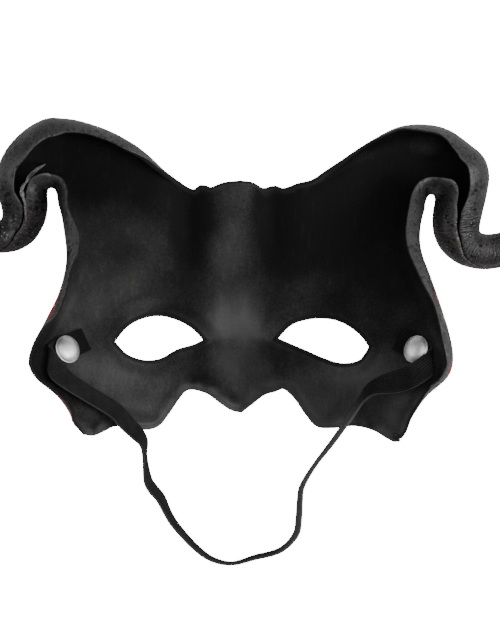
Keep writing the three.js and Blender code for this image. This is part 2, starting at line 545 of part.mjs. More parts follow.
// Builds the middle surface of the whole mask and returns the mask's geometry
function maskGeometry() {
  const first = edgeStations(rightHalf.bottom, plainRim, across, 1, 1)[0];
  const last = edgeStations(rightHalf.top, rightHalf.topRim, across, -1, 1)[0];
  first.crease[0] = 0;
  first.outward = [0, -1];
  last.crease[0] = 0;
  last.outward = [0, 1];
  const low = first.crease[1];
  const high = last.crease[1];
  const spacing = (high - low) / rowCount;
  const centreLine = steps(rowCount).map(j => addPoint([0, low + spacing * j], leather, true));
  const noseRim = addRim(first, centreLine[0]);
  const browRim = addRim(last, centreLine[rowCount]);
  [rightHalf, leftHalf].forEach(half => addHalf({ ...half, noseRim, browRim }, centreLine));
  const fixed = new Set();
  eyes.forEach(eye => cutHole(eye).forEach(index => fixed.add(index)));
  relax(fixed);
  sheet.flat.forEach(index => {
    const [x, y] = sheet.points[index];
    sheet.points[index] = [x, y, heightAt([x, y])];
  });
  return thicken();
}

// A flat strap with rounded edges that follows its route
function strapGeometry() {
  const [w, t] = [strapWidth / 2, strapThickness / 2];
  const section = [[w, 0.4 * t], [w - 0.4, t], [0.4 - w, t], [-w, 0.4 * t], [-w, -0.4 * t], [0.4 - w, -t],
    [w - 0.4, -t], [w, -0.4 * t]];
  const sides = section.length;
  const position = [];
  for (let k = 0; k <= strapSteps; k += 1) {
    const at = step => curveThrough(strapRoute, Math.min(1, Math.max(0, step / strapSteps)));
    const row = at(k);
    const middle = new THREE.Vector3(row[0], row[1], row[2]);
    const along = new THREE.Vector3(...at(k + 0.1)).sub(new THREE.Vector3(...at(k - 0.1))).normalize();
    const side = new THREE.Vector3(...row.slice(3)).normalize();
    const face = new THREE.Vector3().crossVectors(along, side).normalize();
    section.forEach(([a, b]) => {
      position.push(...middle.clone().addScaledVector(side, a).addScaledVector(face, b).toArray());
    });
  }
  const triangles = [];
  for (let k = 0; k < strapSteps; k += 1) {
    for (let s = 0; s < sides; s += 1) {
      const [a, b] = [k * sides + s, k * sides + (s + 1) % sides];
      triangles.push(a, b, a + sides, b, b + sides, a + sides);
    }
  }
  for (let s = 1; s + 1 < sides; s += 1) {
    const end = strapSteps * sides;
    triangles.push(0, s + 1, s, end, end + s, end + s + 1);
  }
  const geometry = new THREE.BufferGeometry();
  geometry.setAttribute('position', new THREE.Float32BufferAttribute(position, 3));
  geometry.setIndex(triangles);
  return geometry;
}

// Turns and moves a geometry made along +Y so that it stands on the leather at a place of the plan
function standOnLeather(geometry, at) {
  const turn = new THREE.Quaternion().setFromUnitVectors(new THREE.Vector3(0, 1, 0), normalAt(at));
  return geometry.applyQuaternion(turn).translate(at[0], at[1], heightAt(at));
}

function rivetGeometry(at) {
  const profile = rivetProfile.map(([radius, height]) => new THREE.Vector2(radius, height));
  return standOnLeather(mergedShape(new THREE.LatheGeometry(profile, rivetSides)), at);
}

function mergedShape(geometry) {
  geometry.deleteAttribute('normal');
  geometry.deleteAttribute('uv');
  return mergeVertices(geometry);
}

function solidOf(geometry) {
  const merged = mergeVertices(geometry);
  return new wasm.Manifold(new wasm.Mesh({
    numProp: 3,
    vertProperties: new Float32Array(merged.attributes.position.array),
    triVerts: new Uint32Array(merged.index.array),
  }));
}

function geometryOf(solid) {
  const mesh = solid.getMesh();
  const geometry = new THREE.BufferGeometry();
  geometry.setAttribute('position', new THREE.BufferAttribute(mesh.vertProperties, 3));
  geometry.setIndex(new THREE.BufferAttribute(mesh.triVerts, 1));
  return geometry;
}

// Holes for the rivets' posts
function punched(geometry) {
  let solid = solidOf(geometry);
  rivets.forEach(({ at }) => {
    const punch = new THREE.CylinderGeometry(holeRadius, holeRadius, 12, 10);
    solid = solid.subtract(solidOf(standOnLeather(mergedShape(punch), at)));
  });
  return geometryOf(solid);
}

const look = (name, color, roughness, metalness) => new THREE.MeshStandardMaterial({
  name, color, roughness, metalness,
});
const leatherLook = look('leather', 0x1b1a1a, 0.6, 0);
const elasticLook = look('elastic', 0x1f1f20, 0.85, 0);
const steelLook = look('steel', 0xc9c9c8, 0.25, 1);

const model = new THREE.Group();
const addPiece = (name, geometry, material) => {
  const piece = new THREE.Mesh(geometry, material);
  piece.name = name;
  model.add(piece);
};
addPiece('mask', punched(maskGeometry()), leatherLook);
addPiece('elastic_strap', punched(strapGeometry()), elasticLook);
rivets.forEach(({ name, at }) => addPiece(name, rivetGeometry(at), steelLook));
model.position.set(...centreShift);

export default model;
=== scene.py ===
"""Dresses a devil half mask of moulded leather, with two rolled horns, an elastic strap and two cap rivets.

The mask lies face down and is seen from its hollow side. The tables are in millimetres, as they are in the
part's source: x to the right, y towards the forehead, z up. Everything that Blender gets is in metres.
"""
import math
from types import SimpleNamespace

import bpy
import numpy as np
from bpy.props import FloatProperty, FloatVectorProperty, IntProperty, PointerProperty
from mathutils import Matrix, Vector, noise


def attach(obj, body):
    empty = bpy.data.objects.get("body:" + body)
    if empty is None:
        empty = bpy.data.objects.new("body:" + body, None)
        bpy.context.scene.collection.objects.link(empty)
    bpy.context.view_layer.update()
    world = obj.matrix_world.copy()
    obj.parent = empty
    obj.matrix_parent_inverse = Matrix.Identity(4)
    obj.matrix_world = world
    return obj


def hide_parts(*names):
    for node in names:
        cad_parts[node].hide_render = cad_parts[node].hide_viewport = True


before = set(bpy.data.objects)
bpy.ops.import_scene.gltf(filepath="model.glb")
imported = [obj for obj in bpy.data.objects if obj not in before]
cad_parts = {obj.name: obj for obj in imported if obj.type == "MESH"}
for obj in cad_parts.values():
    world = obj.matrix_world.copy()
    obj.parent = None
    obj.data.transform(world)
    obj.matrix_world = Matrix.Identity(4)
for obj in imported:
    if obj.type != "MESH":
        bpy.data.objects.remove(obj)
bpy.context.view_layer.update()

bl_info = {
    "name": "Devil half mask",
    "version": (1, 0, 0),
    "blender": (4, 5, 0),
    "location": "3D View > Sidebar > Half mask",
    "description": "Builds a moulded leather half mask with horns, its elastic strap and its rivets",
    "category": "Add Mesh",
}

MM = 0.001
CENTRE_SHIFT = np.array([-0.42, -0.2, -0.02])   # puts the mask's box over the origin, standing on the floor

# Outline of the leather as seen from above. Each half is given with x counted away from the centre line.
# bottom runs from the tip of the nose to the corner of the cheek, side from there up to the round end of
# the notch beside the horn, and top from the middle of the forehead to the crown of the horn. A row of
# horn is one section of it: x, y of its side towards the notch, then x, y of its outer side. A row of a
# rim is a fraction of the edge's length, how far in the leather begins to turn up, how far it rises until
# it stands upright, how far it then leans back over the hollow and rises, and how far round it turns. A
# row of roll is a fraction of the horn, the height of its underside, and the angles at which its two
# sides end. The first row of horn lies before its root and only bends the curve through the others.
RIGHT_HALF = {
    "sign": 1,
    "bottom": [(0, -55.8), (4, -52.8), (9.5, -48.6), (14, -47.2), (17.6, -46), (22, -49.8), (26.5, -56.2),
               (31.5, -61.4), (39, -61.9), (47, -61), (55, -62.8), (60.5, -66), (64.6, -68)],
    "side": [(64.6, -68), (69, -63.8), (71.8, -57.2), (77.8, -48.4), (85.8, -41), (88.4, -33.8),
             (87, -22.8), (83.6, -11), (79.4, 1.5), (75.6, 13), (75.7, 23), (78.96, 34.6)],
    "notch": (80, 34, 1.2, 150),
    "top": [(0, 41.7), (5.2, 41), (9.8, 38.6), (14.2, 39.6), (18.2, 38.6), (24, 40.6), (31.1, 42.6),
            (40.5, 49.3), (53.5, 58), (65.1, 64), (73, 65.5), (80, 65.3)],
    "horn": [(79.4, 35.04, 72, 65.5), (80, 35.2, 80, 65.3), (80.6, 35.04, 88.5, 63.4),
             (81.04, 34.6, 95.8, 58.4), (81.2, 34, 102, 52.5), (81.3, 32.5, 104.5, 45.5),
             (81.1, 29, 103.8, 38), (80.8, 24, 102.3, 30.5), (81.6, 18.5, 101, 24.5),
             (84.6, 12.6, 100.8, 21), (90.5, 7.5, 102.3, 19.5), (98, 5, 105.6, 19.3),
             (105.5, 4.7, 109.5, 20), (113.5, 6.5, 113.5, 21.5), (121.5, 11, 117.8, 24.3),
             (127.8, 18.5, 121.8, 28.8), (130.8, 27.5, 125.4, 33.3), (130.8, 35.5, 127.4, 37.1)],
    "side_rim": [(0, 3, 0.3, 0, 0, -0.6), (0.14, 3.6, 2, 1.6, 1.5, 0.02), (0.34, 5.4, 4, 2.6, 3.4, 0.3),
                 (0.44, 7, 6.6, 3.5, 6, 0.4), (0.58, 8.4, 8.9, 3.2, 8, 0.4),
                 (0.7, 9.2, 10.5, 4.6, 9, 0.45), (0.88, 9.2, 11, 5.8, 10, 0.55), (1, 9, 11, 6.9, 10, 0.65)],
    "top_rim": [(0, 3, 0.3, 0, 0, -0.6), (0.4, 3.4, 1, 0, 0, -0.5), (0.62, 6, 4, 1.5, 3, 0.02),
                (0.82, 10, 8.5, 2, 6, 0.35), (1, 12, 11, 3.5, 8, 0.4)],
    "roll": [(0, 1.7, 156, 196), (0.06, 1.7, 160, 186), (0.125, 1.7, 168, 171), (0.18, 1.7, 172, 162),
             (0.3, 1.8, 172, 167), (0.38, 2, 178, 177), (0.48, 2.3, 180, 180), (0.66, 3.4, 120, 240),
             (0.82, 8, 116, 244), (0.92, 14, 150, 210), (1, 19, 180, 180)],
}
LEFT_HALF = {
    "sign": -1,
    "bottom": [(0, -55.8), (4.2, -54.6), (8.6, -51.6), (14, -47.8), (21.2, -46.2), (25.2, -50),
               (29.4, -55.8), (34.4, -61.4), (41, -62.6), (51, -61), (57, -63.4), (61, -65), (65, -64.4)],
    "side": [(65, -64.4), (69.4, -60.8), (71.8, -55), (76.4, -48.4), (84.6, -41.4), (88.2, -35),
             (86.4, -27), (81, -16.6), (75.4, -4.4), (73, 8), (74.2, 22), (78.05, 37.24)],
    "notch": (79.3, 36.6, 1.4, 153),
    "top": [(0, 41.7), (7, 41), (12.6, 38.8), (16.4, 40), (20.6, 38.2), (30, 44.6), (40.7, 54.3),
            (50.4, 60.6), (60, 64.8), (69.7, 67.6), (79.3, 68.5)],
    "horn": [(78.6, 37.81, 70.2, 67.5), (79.3, 38, 79.3, 68.5), (80, 37.81, 87.5, 65.6),
             (80.5, 37.3, 94.8, 59.8), (80.7, 36.6, 100, 52.5), (80.9, 34, 102.6, 45),
             (81.1, 30.5, 102.3, 38), (81.8, 26, 100.9, 32), (83.6, 21.6, 100.3, 28.5),
             (87, 16.5, 101, 25.6), (92.5, 13, 103.4, 24.8), (99, 11.6, 107, 25.6),
             (106, 12, 110.8, 27.1), (113.5, 14.3, 114.6, 29.4), (120.5, 18.8, 118.2, 32.6),
             (126.5, 26, 121.6, 36.6), (129.8, 34.5, 124.9, 41), (130.2, 42, 126.8, 44.3)],
    "side_rim": [(0, 3, 0.3, 0, 0, -0.6), (0.045, 3.4, 1.6, 1.7, 1.4, 0.05), (0.14, 3.6, 2, 2, 1.7, 0.05),
                 (0.2, 4, 2.4, 1.6, 1.8, 0.05), (0.34, 5, 3.6, 1.6, 2.6, 0.16), (0.46, 7, 7, 1.7, 6, 0.3),
                 (0.54, 8, 8.2, 3.5, 7.5, 0.4), (0.68, 9, 10.2, 3, 8.8, 0.45),
                 (0.8, 9.2, 10.8, 5.6, 9.6, 0.55), (0.92, 9.2, 11, 4, 10, 0.55), (1, 9, 11, 5.8, 10, 0.65)],
    "top_rim": [(0, 3, 0.3, 0, 0, -0.6), (0.34, 3.4, 1, 0, 0, -0.5), (0.46, 5.5, 3.6, 2, 3.4, 0.2),
                (0.64, 8.4, 7.2, 4.1, 6.8, 0.5), (0.8, 10, 9, 4.6, 8.5, 0.55),
                (0.91, 11.4, 10.4, 5.7, 9.8, 0.6), (1, 12, 11, 7.8, 10.5, 0.7)],
    "roll": [(0, 1.7, 156, 166), (0.06, 1.7, 168, 168), (0.12, 1.7, 166, 168), (0.2, 1.73, 168, 161),
             (0.28, 1.8, 171, 165), (0.36, 1.95, 177, 183), (0.5, 2.6, 177, 183), (0.66, 3.6, 120, 240),
             (0.82, 8, 116, 244), (0.92, 14, 150, 210), (1, 19, 180, 180)],
}
PLAIN_RIM = [(0, 3, 0.3, 0, 0, -0.6), (1, 3, 0.3, 0, 0, -0.6)]

# Eye holes, anticlockwise, with their two corners
EYES = [
    ([(53.3, -27.8), (49.4, -22.8), (42.1, -17.7), (35, -16), (27, -16.7), (20.6, -19.4), (14.7, -25.4),
      (20.6, -26.9), (27, -29.4), (34, -32.5), (42, -34.8), (49.4, -33.3)], (0, 6)),
    ([(-14.7, -25.9), (-19.5, -21), (-25.5, -17.2), (-33, -15), (-40.5, -16), (-47.2, -19.8),
      (-52.2, -25.6), (-47.4, -30.6), (-40.5, -33.4), (-33.5, -33), (-26, -29.1), (-19.5, -27.4)], (0, 6)),
]

HOLE_STEPS = 32     # steps of the finished line from one of their points to the next

# Height of the middle of the leather at places of the face, the same on both sides
HEIGHTS = [
    (0, -54, 3.1), (0, -46, 5.1), (0, -36, 10.5), (0, -26, 20), (0, -16, 23), (0, -4, 20.5),
    (0, 12, 16.5), (0, 28, 14), (0, 41, 13.5), (10, -47, 8), (17.5, -44, 15.5), (15, -26, 23.5),
    (9, -36, 15), (34, -34, 29), (52, -29, 38), (34, -14, 25), (34, -2, 21), (20, 4, 18.5),
    (34, 14, 17.5), (22, 32, 13), (36, 40, 11), (50, 2, 26), (50, 22, 15.5), (52, 44, 8), (30, -56, 25),
    (45, -58, 31), (60, -62, 41), (64, -44, 46), (73, -29, 51), (79, -33, 56), (70, -12, 43), (66, 6, 30),
    (65, 22, 17.5), (68, 38, 7), (68, 50, 3.5), (80, 47, 1.7), (80, 56, 1.9),
]

# Horns: the leather under one spans the floor angle to each side of straight down. The channel has turned to
# a round roll by the channel end, a fraction of the length, and the leather thins from another such fraction
# on. The seam gap is left between the lips. The edges of a section begin to touch at the first of the met
# angles, its two end angles together, and do so fully at the second.
FLOOR_ANGLE = 32
CHANNEL_END = 0.24
THINNED_FROM = 0.55
SEAM_GAP = 0.1
MET_ANGLES = (350, 358)

# Furrows beside the ridge of the brow, as x, half the width and the depth, and the ranges of y in which they
# begin and end
FURROWS = [(-23, 7.5, 4.4), (12.5, 8, 5)]
FURROWS_FROM, FURROWS_TO = (-6, 22), (36, 52)

# The fold over the hollow of the nose: its y at the middle and how it falls away to the sides, its depth and
# width, and the distance from the middle in which it dies out
NOSE_FOLD, NOSE_FOLD_DROOP = -23, 0.014
NOSE_FOLD_DEPTH, NOSE_FOLD_WIDTH = 1.6, 5
NOSE_FOLD_ENDS = (22, 34)

# How much of the paring the cut edge of the brow is spared, the y in which that begins, and the distance
# from the middle in which it ends
BROW_SPARED = 0.75
BROW_FROM, BROW_TO = (20, 34), (36, 52)

# Places above a notch in the plan where the surface is smoothed, how far round each, and how many times: the
# joins of the rims with the horn, then on the outer side alone the turn at the top of the notch
GATES = (12, 16, 20), 5, 20
TURNS = (3,), 8, 14

# The rounding of a cut edge inwards and upwards, as powers that make it squarer the lower they are, and how
# much squarer still it is where the two edges of a horn meet
EDGE_POWERS = (0.45, 0.7)
SEAM_SQUARED = 0.85

# Unevenness of the leather, and of its cut edges alone, as depth, size of the waves and the chance that they
# start from
SWELLS = [(0.22, 13, 1), (0.1, 5.5, 2)]
EDGE_WAVES = [(0.11, 2.6, 5), (0.1, 6, 6)]

# Creases pressed into the hollow side: where one begins and ends in the plan, half its width and its depth
CREASES = [
    ((12.2, -30), (12.6, -40), 0.9, 0.45), ((54.5, -21), (56.5, -32), 1.1, 0.4),
    ((57.5, -20), (60, -30), 1.2, 0.3), ((-54, -22), (-57, -31), 1.2, 0.25),
]

# Places where the black of the hollow side is made greyer, or is deepest where the amount is below
# nothing: partly dye worn to grey, partly painted highlights, and painted shade in the furrows, the hollows
# of the horns and along the forehead: x, y, how far it reaches across and along y, and the amount
WORN_AND_PAINTED_LIGHT = [
    (-3, -17, 13, 15, 1.05), (-4, -38, 13, 10, 0.7), (-4, 18, 9, 17, 0.5), (-2, 38, 22, 6, 0.2),
    (-52, -38, 17, 13, 0.75), (-70, -22, 10, 22, 0.55), (-54, -4, 22, 13, 0.6), (-44, -56, 20, 6, 0.6),
    (-34, 8, 14, 10, 0.25), (-66, 28, 16, 14, 0.25), (-28, -44, 8, 8, 0.3), (24, -44, 9, 8, 0.3),
    (47, -42, 18, 9, 0.45), (38, -57, 20, 6, 0.5), (82, -34, 6, 16, 0.5), (30, -2, 15, 8, 0.25),
    (50, 14, 24, 22, -0.25), (18, 28, 9, 17, -0.9), (-21, 27, 8, 15, -0.6), (-46, 46, 22, 10, -0.45),
    (44, 44, 20, 8, -0.2), (72, 26, 9, 14, -0.45), (-79, 44, 12, 9, -0.8), (90, 40, 12, 12, -0.8),
    (79, 58, 8, 6, 0.7), (-8, -16, 3, 9, 0.5), (2, -14, 2, 8, 0.4), (2, -22, 14, 7, 0.45),
    (9, -40, 15, 11, 0.6), (4, -50, 12, 6, 0.5), (45, -12, 40, 14, 0.25), (50, -46, 28, 11, 0.35),
    (66, -50, 16, 9, 0.4), (30, -56, 12, 8, 0.4), (-52, 20, 22, 12, 0.4), (14, 33, 7, 14, -0.6),
    (-22, 27, 6, 13, -0.4), (-2, 9, 12, 9, 0.35), (40, -34, 12, 7, 0.3), (62, -41, 10, 12, 0.4),
    (55, -30, 12, 6, 0.2), (20, 22, 7, 18, -0.35), (24, -9, 6, 5, -0.2), (11, -20, 3, 9, -0.25),
    (66, -60, 9, 6, 0.55),
]

# The same for the black of the grain side, where the amount is above nothing for lighter leather: partly
# rubbed leather, partly painted highlights and painted shade on the rolled flaps and bands of the horns
RUBBED_AND_PAINTED_LIGHT = [
    (79.6, 41, 7, 6, -0.16), (88, 38, 5, 9, -0.22), (82, 24, 3.5, 12, -0.12), (88, 12, 9, 6, -0.2),
    (86.3, 23, 1.3, 4.5, 0.4), (89.6, 38, 1, 9, 0.16), (95.5, 42, 4, 14, 0.16), (103, 13, 10, 4, 0.26),
    (97, 6.6, 14, 1.1, -0.3), (72, 20, 4, 14, 0.04), (77.6, 31, 3, 3.5, -0.12), (-93, 17, 16, 9, -0.08),
    (-80, 38, 8, 7, -0.14), (-97, 33, 7, 10, -0.06), (-72, 15, 1.1, 2.6, 0.9), (-73.4, 22, 1, 6, 0.4),
    (-90.5, 30, 0.9, 5, 0.5), (-96, 16, 8, 3, 0.12), (81, -45, 5, 5, 0.5), (86, -38, 4, 6, 0.35),
    (-84, -41, 5, 4, 0.3), (-79, -47, 4, 3, 0.3), (-74, 4, 3, 8, 0.12),
]

# Where the red reaches the cut edge: x, y, how far round, and how far the black stays back, in metres
RED_EDGES = [
    (-74, -54, 10, 0.0055), (-80, -14, 6, 0.0022), (87.5, -38, 4.5, 0.0042), (84.5, -9, 4, 0.0022),
    (77, -49, 3, 0.003),
]

# A torn ply of leather at the lip of the left horn, down to its floor: x, y, z and half its width
TORN_LIP = [
    (-90, 24.5, 20.4, 0.2), (-90.3, 28.4, 21.8, 0.45), (-90.5, 32.3, 23.2, 0.5), (-91.4, 35.3, 24, 0.75),
    (-91.8, 37.8, 24.4, 0.85), (-91, 39.7, 24.8, 0.5), (-89.6, 41.4, 24.4, 0.6),
    (-88.3, 43.7, 22.6, 0.85), (-85.9, 46.3, 17, 0.75), (-83.6, 48, 9.5, 0.5), (-82.4, 48.9, 4.4, 0.3),
]

# The leather that each strip across a cut edge belongs to, from the hollow side: 0 inside, 1 cut, 2 outside
EDGE_SIDES = (0, 1, 1, 1, 2, 2)
TORN_SIDE = 3

# The elastic strap: x, y, z of its middle, then the direction across its width
STRAP_ROUTE = [
    (-64.5, -24.8, 47.6, -0.42, 0.91, 0.03), (-71.8, -28.1, 52.9, -0.42, 0.91, 0),
    (-76.2, -30.2, 56.5, -0.35, 0.93, -0.08), (-78.6, -31.5, 58.3, -0.2, 0.97, -0.17),
    (-79.8, -32.2, 59.9, 0, 0.97, -0.23), (-79, -33.7, 61.3, 0.24, 0.93, -0.26),
    (-75.8, -38.2, 60.3, 0.44, 0.72, -0.52), (-71.4, -42.4, 57.5, 0.42, 0.56, -0.72),
    (-62.4, -48.3, 51.2, 0.4, 0.52, -0.75), (-52.7, -54.4, 43.8, 0.4, 0.52, -0.75),
    (-47.9, -59.6, 40, 0.44, 0.46, -0.77), (-43.3, -64.3, 36.8, 0.42, 0.38, -0.82),
    (-40.5, -68.3, 33, 0.28, 0.24, -0.93), (-40.1, -74.1, 26.5, 0.12, 0.05, -0.99),
    (-39, -83.8, 15, 0.28, 0.15, -0.95), (-36.8, -88, 10.6, 0.33, 0.22, -0.92),
    (-33.6, -92, 7.6, 0.3, 0.2, -0.93), (-30.9, -97.7, 5.8, 0.25, 0.13, -0.96),
    (-27.3, -103.5, 5.4, 0.22, 0.13, -0.97), (-19.2, -112.4, 5.3, 0.14, 0.14, -0.98),
    (-12, -117.6, 5.3, 0.06, 0.12, -0.99), (-3.6, -119.4, 5.3, 0, 0.06, -1),
    (6.3, -116.8, 5.3, -0.03, 0.12, -0.99), (16.6, -113.9, 5.3, -0.06, 0.12, -0.99),
    (23.2, -107.4, 5.3, -0.18, 0.06, -0.98), (24.6, -100, 5.6, -0.2, 0, -0.98),
    (25, -93, 7.8, -0.18, 0, -0.98), (26, -86.6, 12.6, -0.14, 0.04, -0.99),
    (31.3, -77.5, 22.5, -0.08, 0.05, -0.99), (39.3, -66.8, 34, -0.1, 0.1, -0.99),
    (46.7, -56, 41, -0.12, 0.14, -0.98), (50.6, -50, 44.4, -0.15, 0.2, -0.97),
    (55.2, -45.4, 47, -0.24, 0.5, -0.83), (65.2, -42.4, 54.2, -0.33, 0.9, -0.28),
    (71.6, -39.9, 60.4, -0.26, 0.95, -0.16), (78.3, -35.3, 61.9, -0.24, 0.95, -0.21),
    (79.4, -33.2, 60.3, 0, 0.98, -0.18), (78.3, -32.1, 58.3, 0.2, 0.97, -0.14),
    (74.8, -29.4, 55.4, 0.4, 0.92, -0.05), (65.5, -24.8, 48.2, 0.42, 0.91, 0.02),
]

VIEW_CENTRE = (3.57, -13.85, 20.0)      # what the camera looks down on
FLOOR_SIZE, FLOOR_SQUARES = 3.0, 8      # in metres, and squares along each side
SKY_FILL, SKY_SEEN = 0.12, 16.0         # strength of the white sky as light, and as the camera sees it

# Soft boxes: name, place in metres, watts and width in metres
LIGHTS = [
    ("key_box", (2.3, -0.5, 2.6), 60.0, 1.4), ("top_box", (0.2, 0.6, 4.4), 60.0, 3.8),
    ("side_box_left", (-1.0, 0.1, 0.42), 2.0, 0.6), ("side_box_right", (1.0, 0.1, 0.42), 3.0, 0.6),
]

# Colours that more than one finish shares
NEAR_BLACK = (0.001, 0.001, 0.001)
DUST_AND_HIGHLIGHT_GREY = (0.09, 0.088, 0.086)

STITCH = 0.0009     # length of one stitch of the elastic, in metres
FADED_ACROSS = (10, 30)     # x in which its greyed tail begins
FADED_UP = (-62, -46)       # y in which that ends

# Rivets: where the axis meets the middle of the leather, and half a section from the outer head up to the
# domed head on the hollow side, as radius and distance from the middle of the leather
RIVETS = {"rivet_left": (-74.1, -29.9), "rivet_right": (75.1, -29.9)}
RIVET_SECTION = [
    (0, -4.4), (1.6, -4.36), (3.2, -4.12), (4.4, -3.75), (5.05, -3.35), (5.28, -2.95), (5.25, -2.6),
    (5.05, -2.36), (4.6, -2.3), (1.75, -2.3), (1.7, -2.2), (1.7, 3.3), (1.8, 3.42), (5.2, 3.42),
    (5.65, 3.48), (5.88, 3.66), (5.9, 3.95), (5.72, 4.22), (5.4, 4.42), (5, 4.85), (4.35, 5.33),
    (3.5, 5.76), (2.4, 6.08), (1.25, 6.25), (0, 6.3),
]


class MaskSettings(bpy.types.PropertyGroup):
    """Sizes and colours of the leather"""
    leather: FloatProperty(
        name="Leather", description="Thickness of the leather", default=0.003, min=0.001, max=0.005,
        unit="LENGTH")
    tip_leather: FloatProperty(
        name="Tip leather", description="Thickness at the tips of the horns", default=0.0014, min=0.0008,
        max=0.003, unit="LENGTH")
    edge_leather: FloatProperty(
        name="Edge leather", description="Thickness that the cut edges are pared to", default=0.0011,
        min=0.0004, unit="LENGTH")
    paring: FloatProperty(
        name="Paring", description="How far in from the cut edges the leather is pared", default=0.0065,
        min=0.0005, unit="LENGTH")
    columns: IntProperty(
        name="Columns", description="Columns of the face from the middle to one side", default=66, min=12)
    side_rows: IntProperty(
        name="Side rows", description="Rows of the face from the cheek to the notch", default=80, min=12)
    gate_rows: IntProperty(
        name="Gate rows", description="Rows of the face that run on into the horn", default=10, min=4)
    horn_steps: IntProperty(
        name="Horn steps", description="Sections of a horn", default=130, min=16)
    rim_steps: IntProperty(
        name="Rim steps", description="Steps across a turned-up rim", default=14, min=4)
    inside_colour: FloatVectorProperty(
        name="Inside", description="Black dye of the hollow side", default=(0.012, 0.0115, 0.0115),
        size=3, subtype="COLOR", min=0.0, max=1.0)
    # also the grey of the painted highlights on the hollow side
    worn_and_highlight_colour: FloatVectorProperty(
        name="Worn inside", description="Grey of the hollow side where the dye is worn",
        default=(0.075, 0.074, 0.073), size=3, subtype="COLOR", min=0.0, max=1.0)
    face_colour: FloatVectorProperty(
        name="Face", description="Red dye of the face side", default=(0.36, 0.012, 0.012),
        size=3, subtype="COLOR", min=0.0, max=1.0)
    horn_colour: FloatVectorProperty(
        name="Horns", description="Black dye of the horns", default=(0.02, 0.019, 0.019),
        size=3, subtype="COLOR", min=0.0, max=1.0)


class StrapSettings(bpy.types.PropertyGroup):
    """Sizes and colour of the elastic strap"""
    width: FloatProperty(
        name="Width", description="Width of the elastic", default=0.01, min=0.004, max=0.025,
        unit="LENGTH")
    thickness: FloatProperty(
        name="Thickness", description="Thickness of the elastic", default=0.0012, min=0.0005,
        max=0.003, unit="LENGTH")
    ribs: IntProperty(
        name="Ribs", description="Ribs across the elastic", default=9, min=3, max=20)
    steps: IntProperty(
        name="Steps", description="Sections along the elastic", default=640, min=60)
    colour: FloatVectorProperty(
        name="Colour", description="Colour of the yarn", default=(0.02, 0.02, 0.021),
        size=3, subtype="COLOR", min=0.0, max=1.0)


class RivetSettings(bpy.types.PropertyGroup):
    """Finish of the two cap rivets"""
    sides: IntProperty(
        name="Sides", description="Sides of a rivet's round", default=96, min=16)
    colour: FloatVectorProperty(
        name="Colour", description="Colour of the plating", default=(0.97, 0.97, 0.965),
        size=3, subtype="COLOR", min=0.0, max=1.0)


class StageSettings(bpy.types.PropertyGroup):
    """The floor, the lights and the camera"""
    view_width: FloatProperty(
        name="View width", description="Width of the floor that the picture takes in", default=0.21,
        unit="LENGTH")
    distance: FloatProperty(
        name="Distance", description="From the camera to the mask", default=4.0, unit="LENGTH")
    floor_glow: FloatProperty(
        name="Floor glow", description="Light of the white sheet under the mask", default=16.0, min=0.0)
    floor_colour: FloatVectorProperty(
        name="Floor", description="Colour of the paper that the mask lies on", default=(0.9, 0.9, 0.9),
        size=3, subtype="COLOR", min=0.0, max=1.0)


def in_table_units(group):
    """The values of a group of settings, its lengths in the millimetres of the tables"""
    values = {}
    for name, described in group.bl_rna.properties.items():
        if name not in ("rna_type", "name"):
            value = getattr(group, name)
            values[name] = round(value / MM, 4) if described.unit == "LENGTH" else value
    return SimpleNamespace(**values)


def smooth(low, high, value):
    """0 below low, 1 above high and a smooth rise between them"""
    f = np.clip((value - low) / (high - low), 0, 1)
    return f * f * (3 - 2 * f)


def curve_through(rows, t):
    """Rows of numbers along a smooth curve through the given rows, at each t from 0 to 1"""
    rows = np.asarray(rows, float)
    last = len(rows) - 1
    t = np.clip(np.atleast_1d(t), 0, 1)
    i = np.minimum((t * last).astype(int), last - 1)
    f = (t * last - i)[:, None]
    p, q, r, s = (rows[np.clip(i + k, 0, last)] for k in (-1, 0, 1, 2))
    square = 2 * p - 5 * q + 4 * r - s
    cube = 3 * q - p - 3 * r + s
    return 0.5 * (2 * q + (r - p) * f + square * f ** 2 + cube * f ** 3)


def values_at(table, fraction):
    """Values of a table between its rows, which start with a fraction of a length"""
    table = np.asarray(table, float)
    fraction = np.atleast_1d(fraction)
    k = np.clip(np.searchsorted(table[:, 0], fraction, side="left") - 1, 0, len(table) - 2)
    f = smooth(table[k, 0], table[k + 1, 0], fraction)[:, None]
    return (table[k] + (table[k + 1] - table[k]) * f)[:, 1:]


def plate_through(points):
    """Centres and weights of a thin plate that is bent through the given heights"""
    centres, levels = points[:, :2], points[:, 2]
    count = len(points)
    system = np.zeros((count + 3, count + 3))
    system[:count, :count] = plate_kernel(centres, centres)
    system[:count, count] = 1
    system[:count, count + 1:] = centres
    system[count:, :count] = system[:count, count:].T
    return centres, np.linalg.solve(system, np.concatenate([levels, np.zeros(3)]))


def plate_kernel(places, centres):
    """How far each centre of a bent plate lifts each place, before its weight"""
    square = ((places[:, None] - centres[None]) ** 2).sum(-1)
    return 0.5 * square * np.log(np.maximum(square, 1e-12))


MIRRORED = [(-x, y, z) for x, y, z in HEIGHTS if x > 0]
PLATE_CENTRES, PLATE_WEIGHTS = plate_through(np.array(HEIGHTS + MIRRORED, float))


def nose_fold(x):
    """Where the fold over the hollow of the nose lies, as y at each x"""
    return NOSE_FOLD - NOSE_FOLD_DROOP * x * x


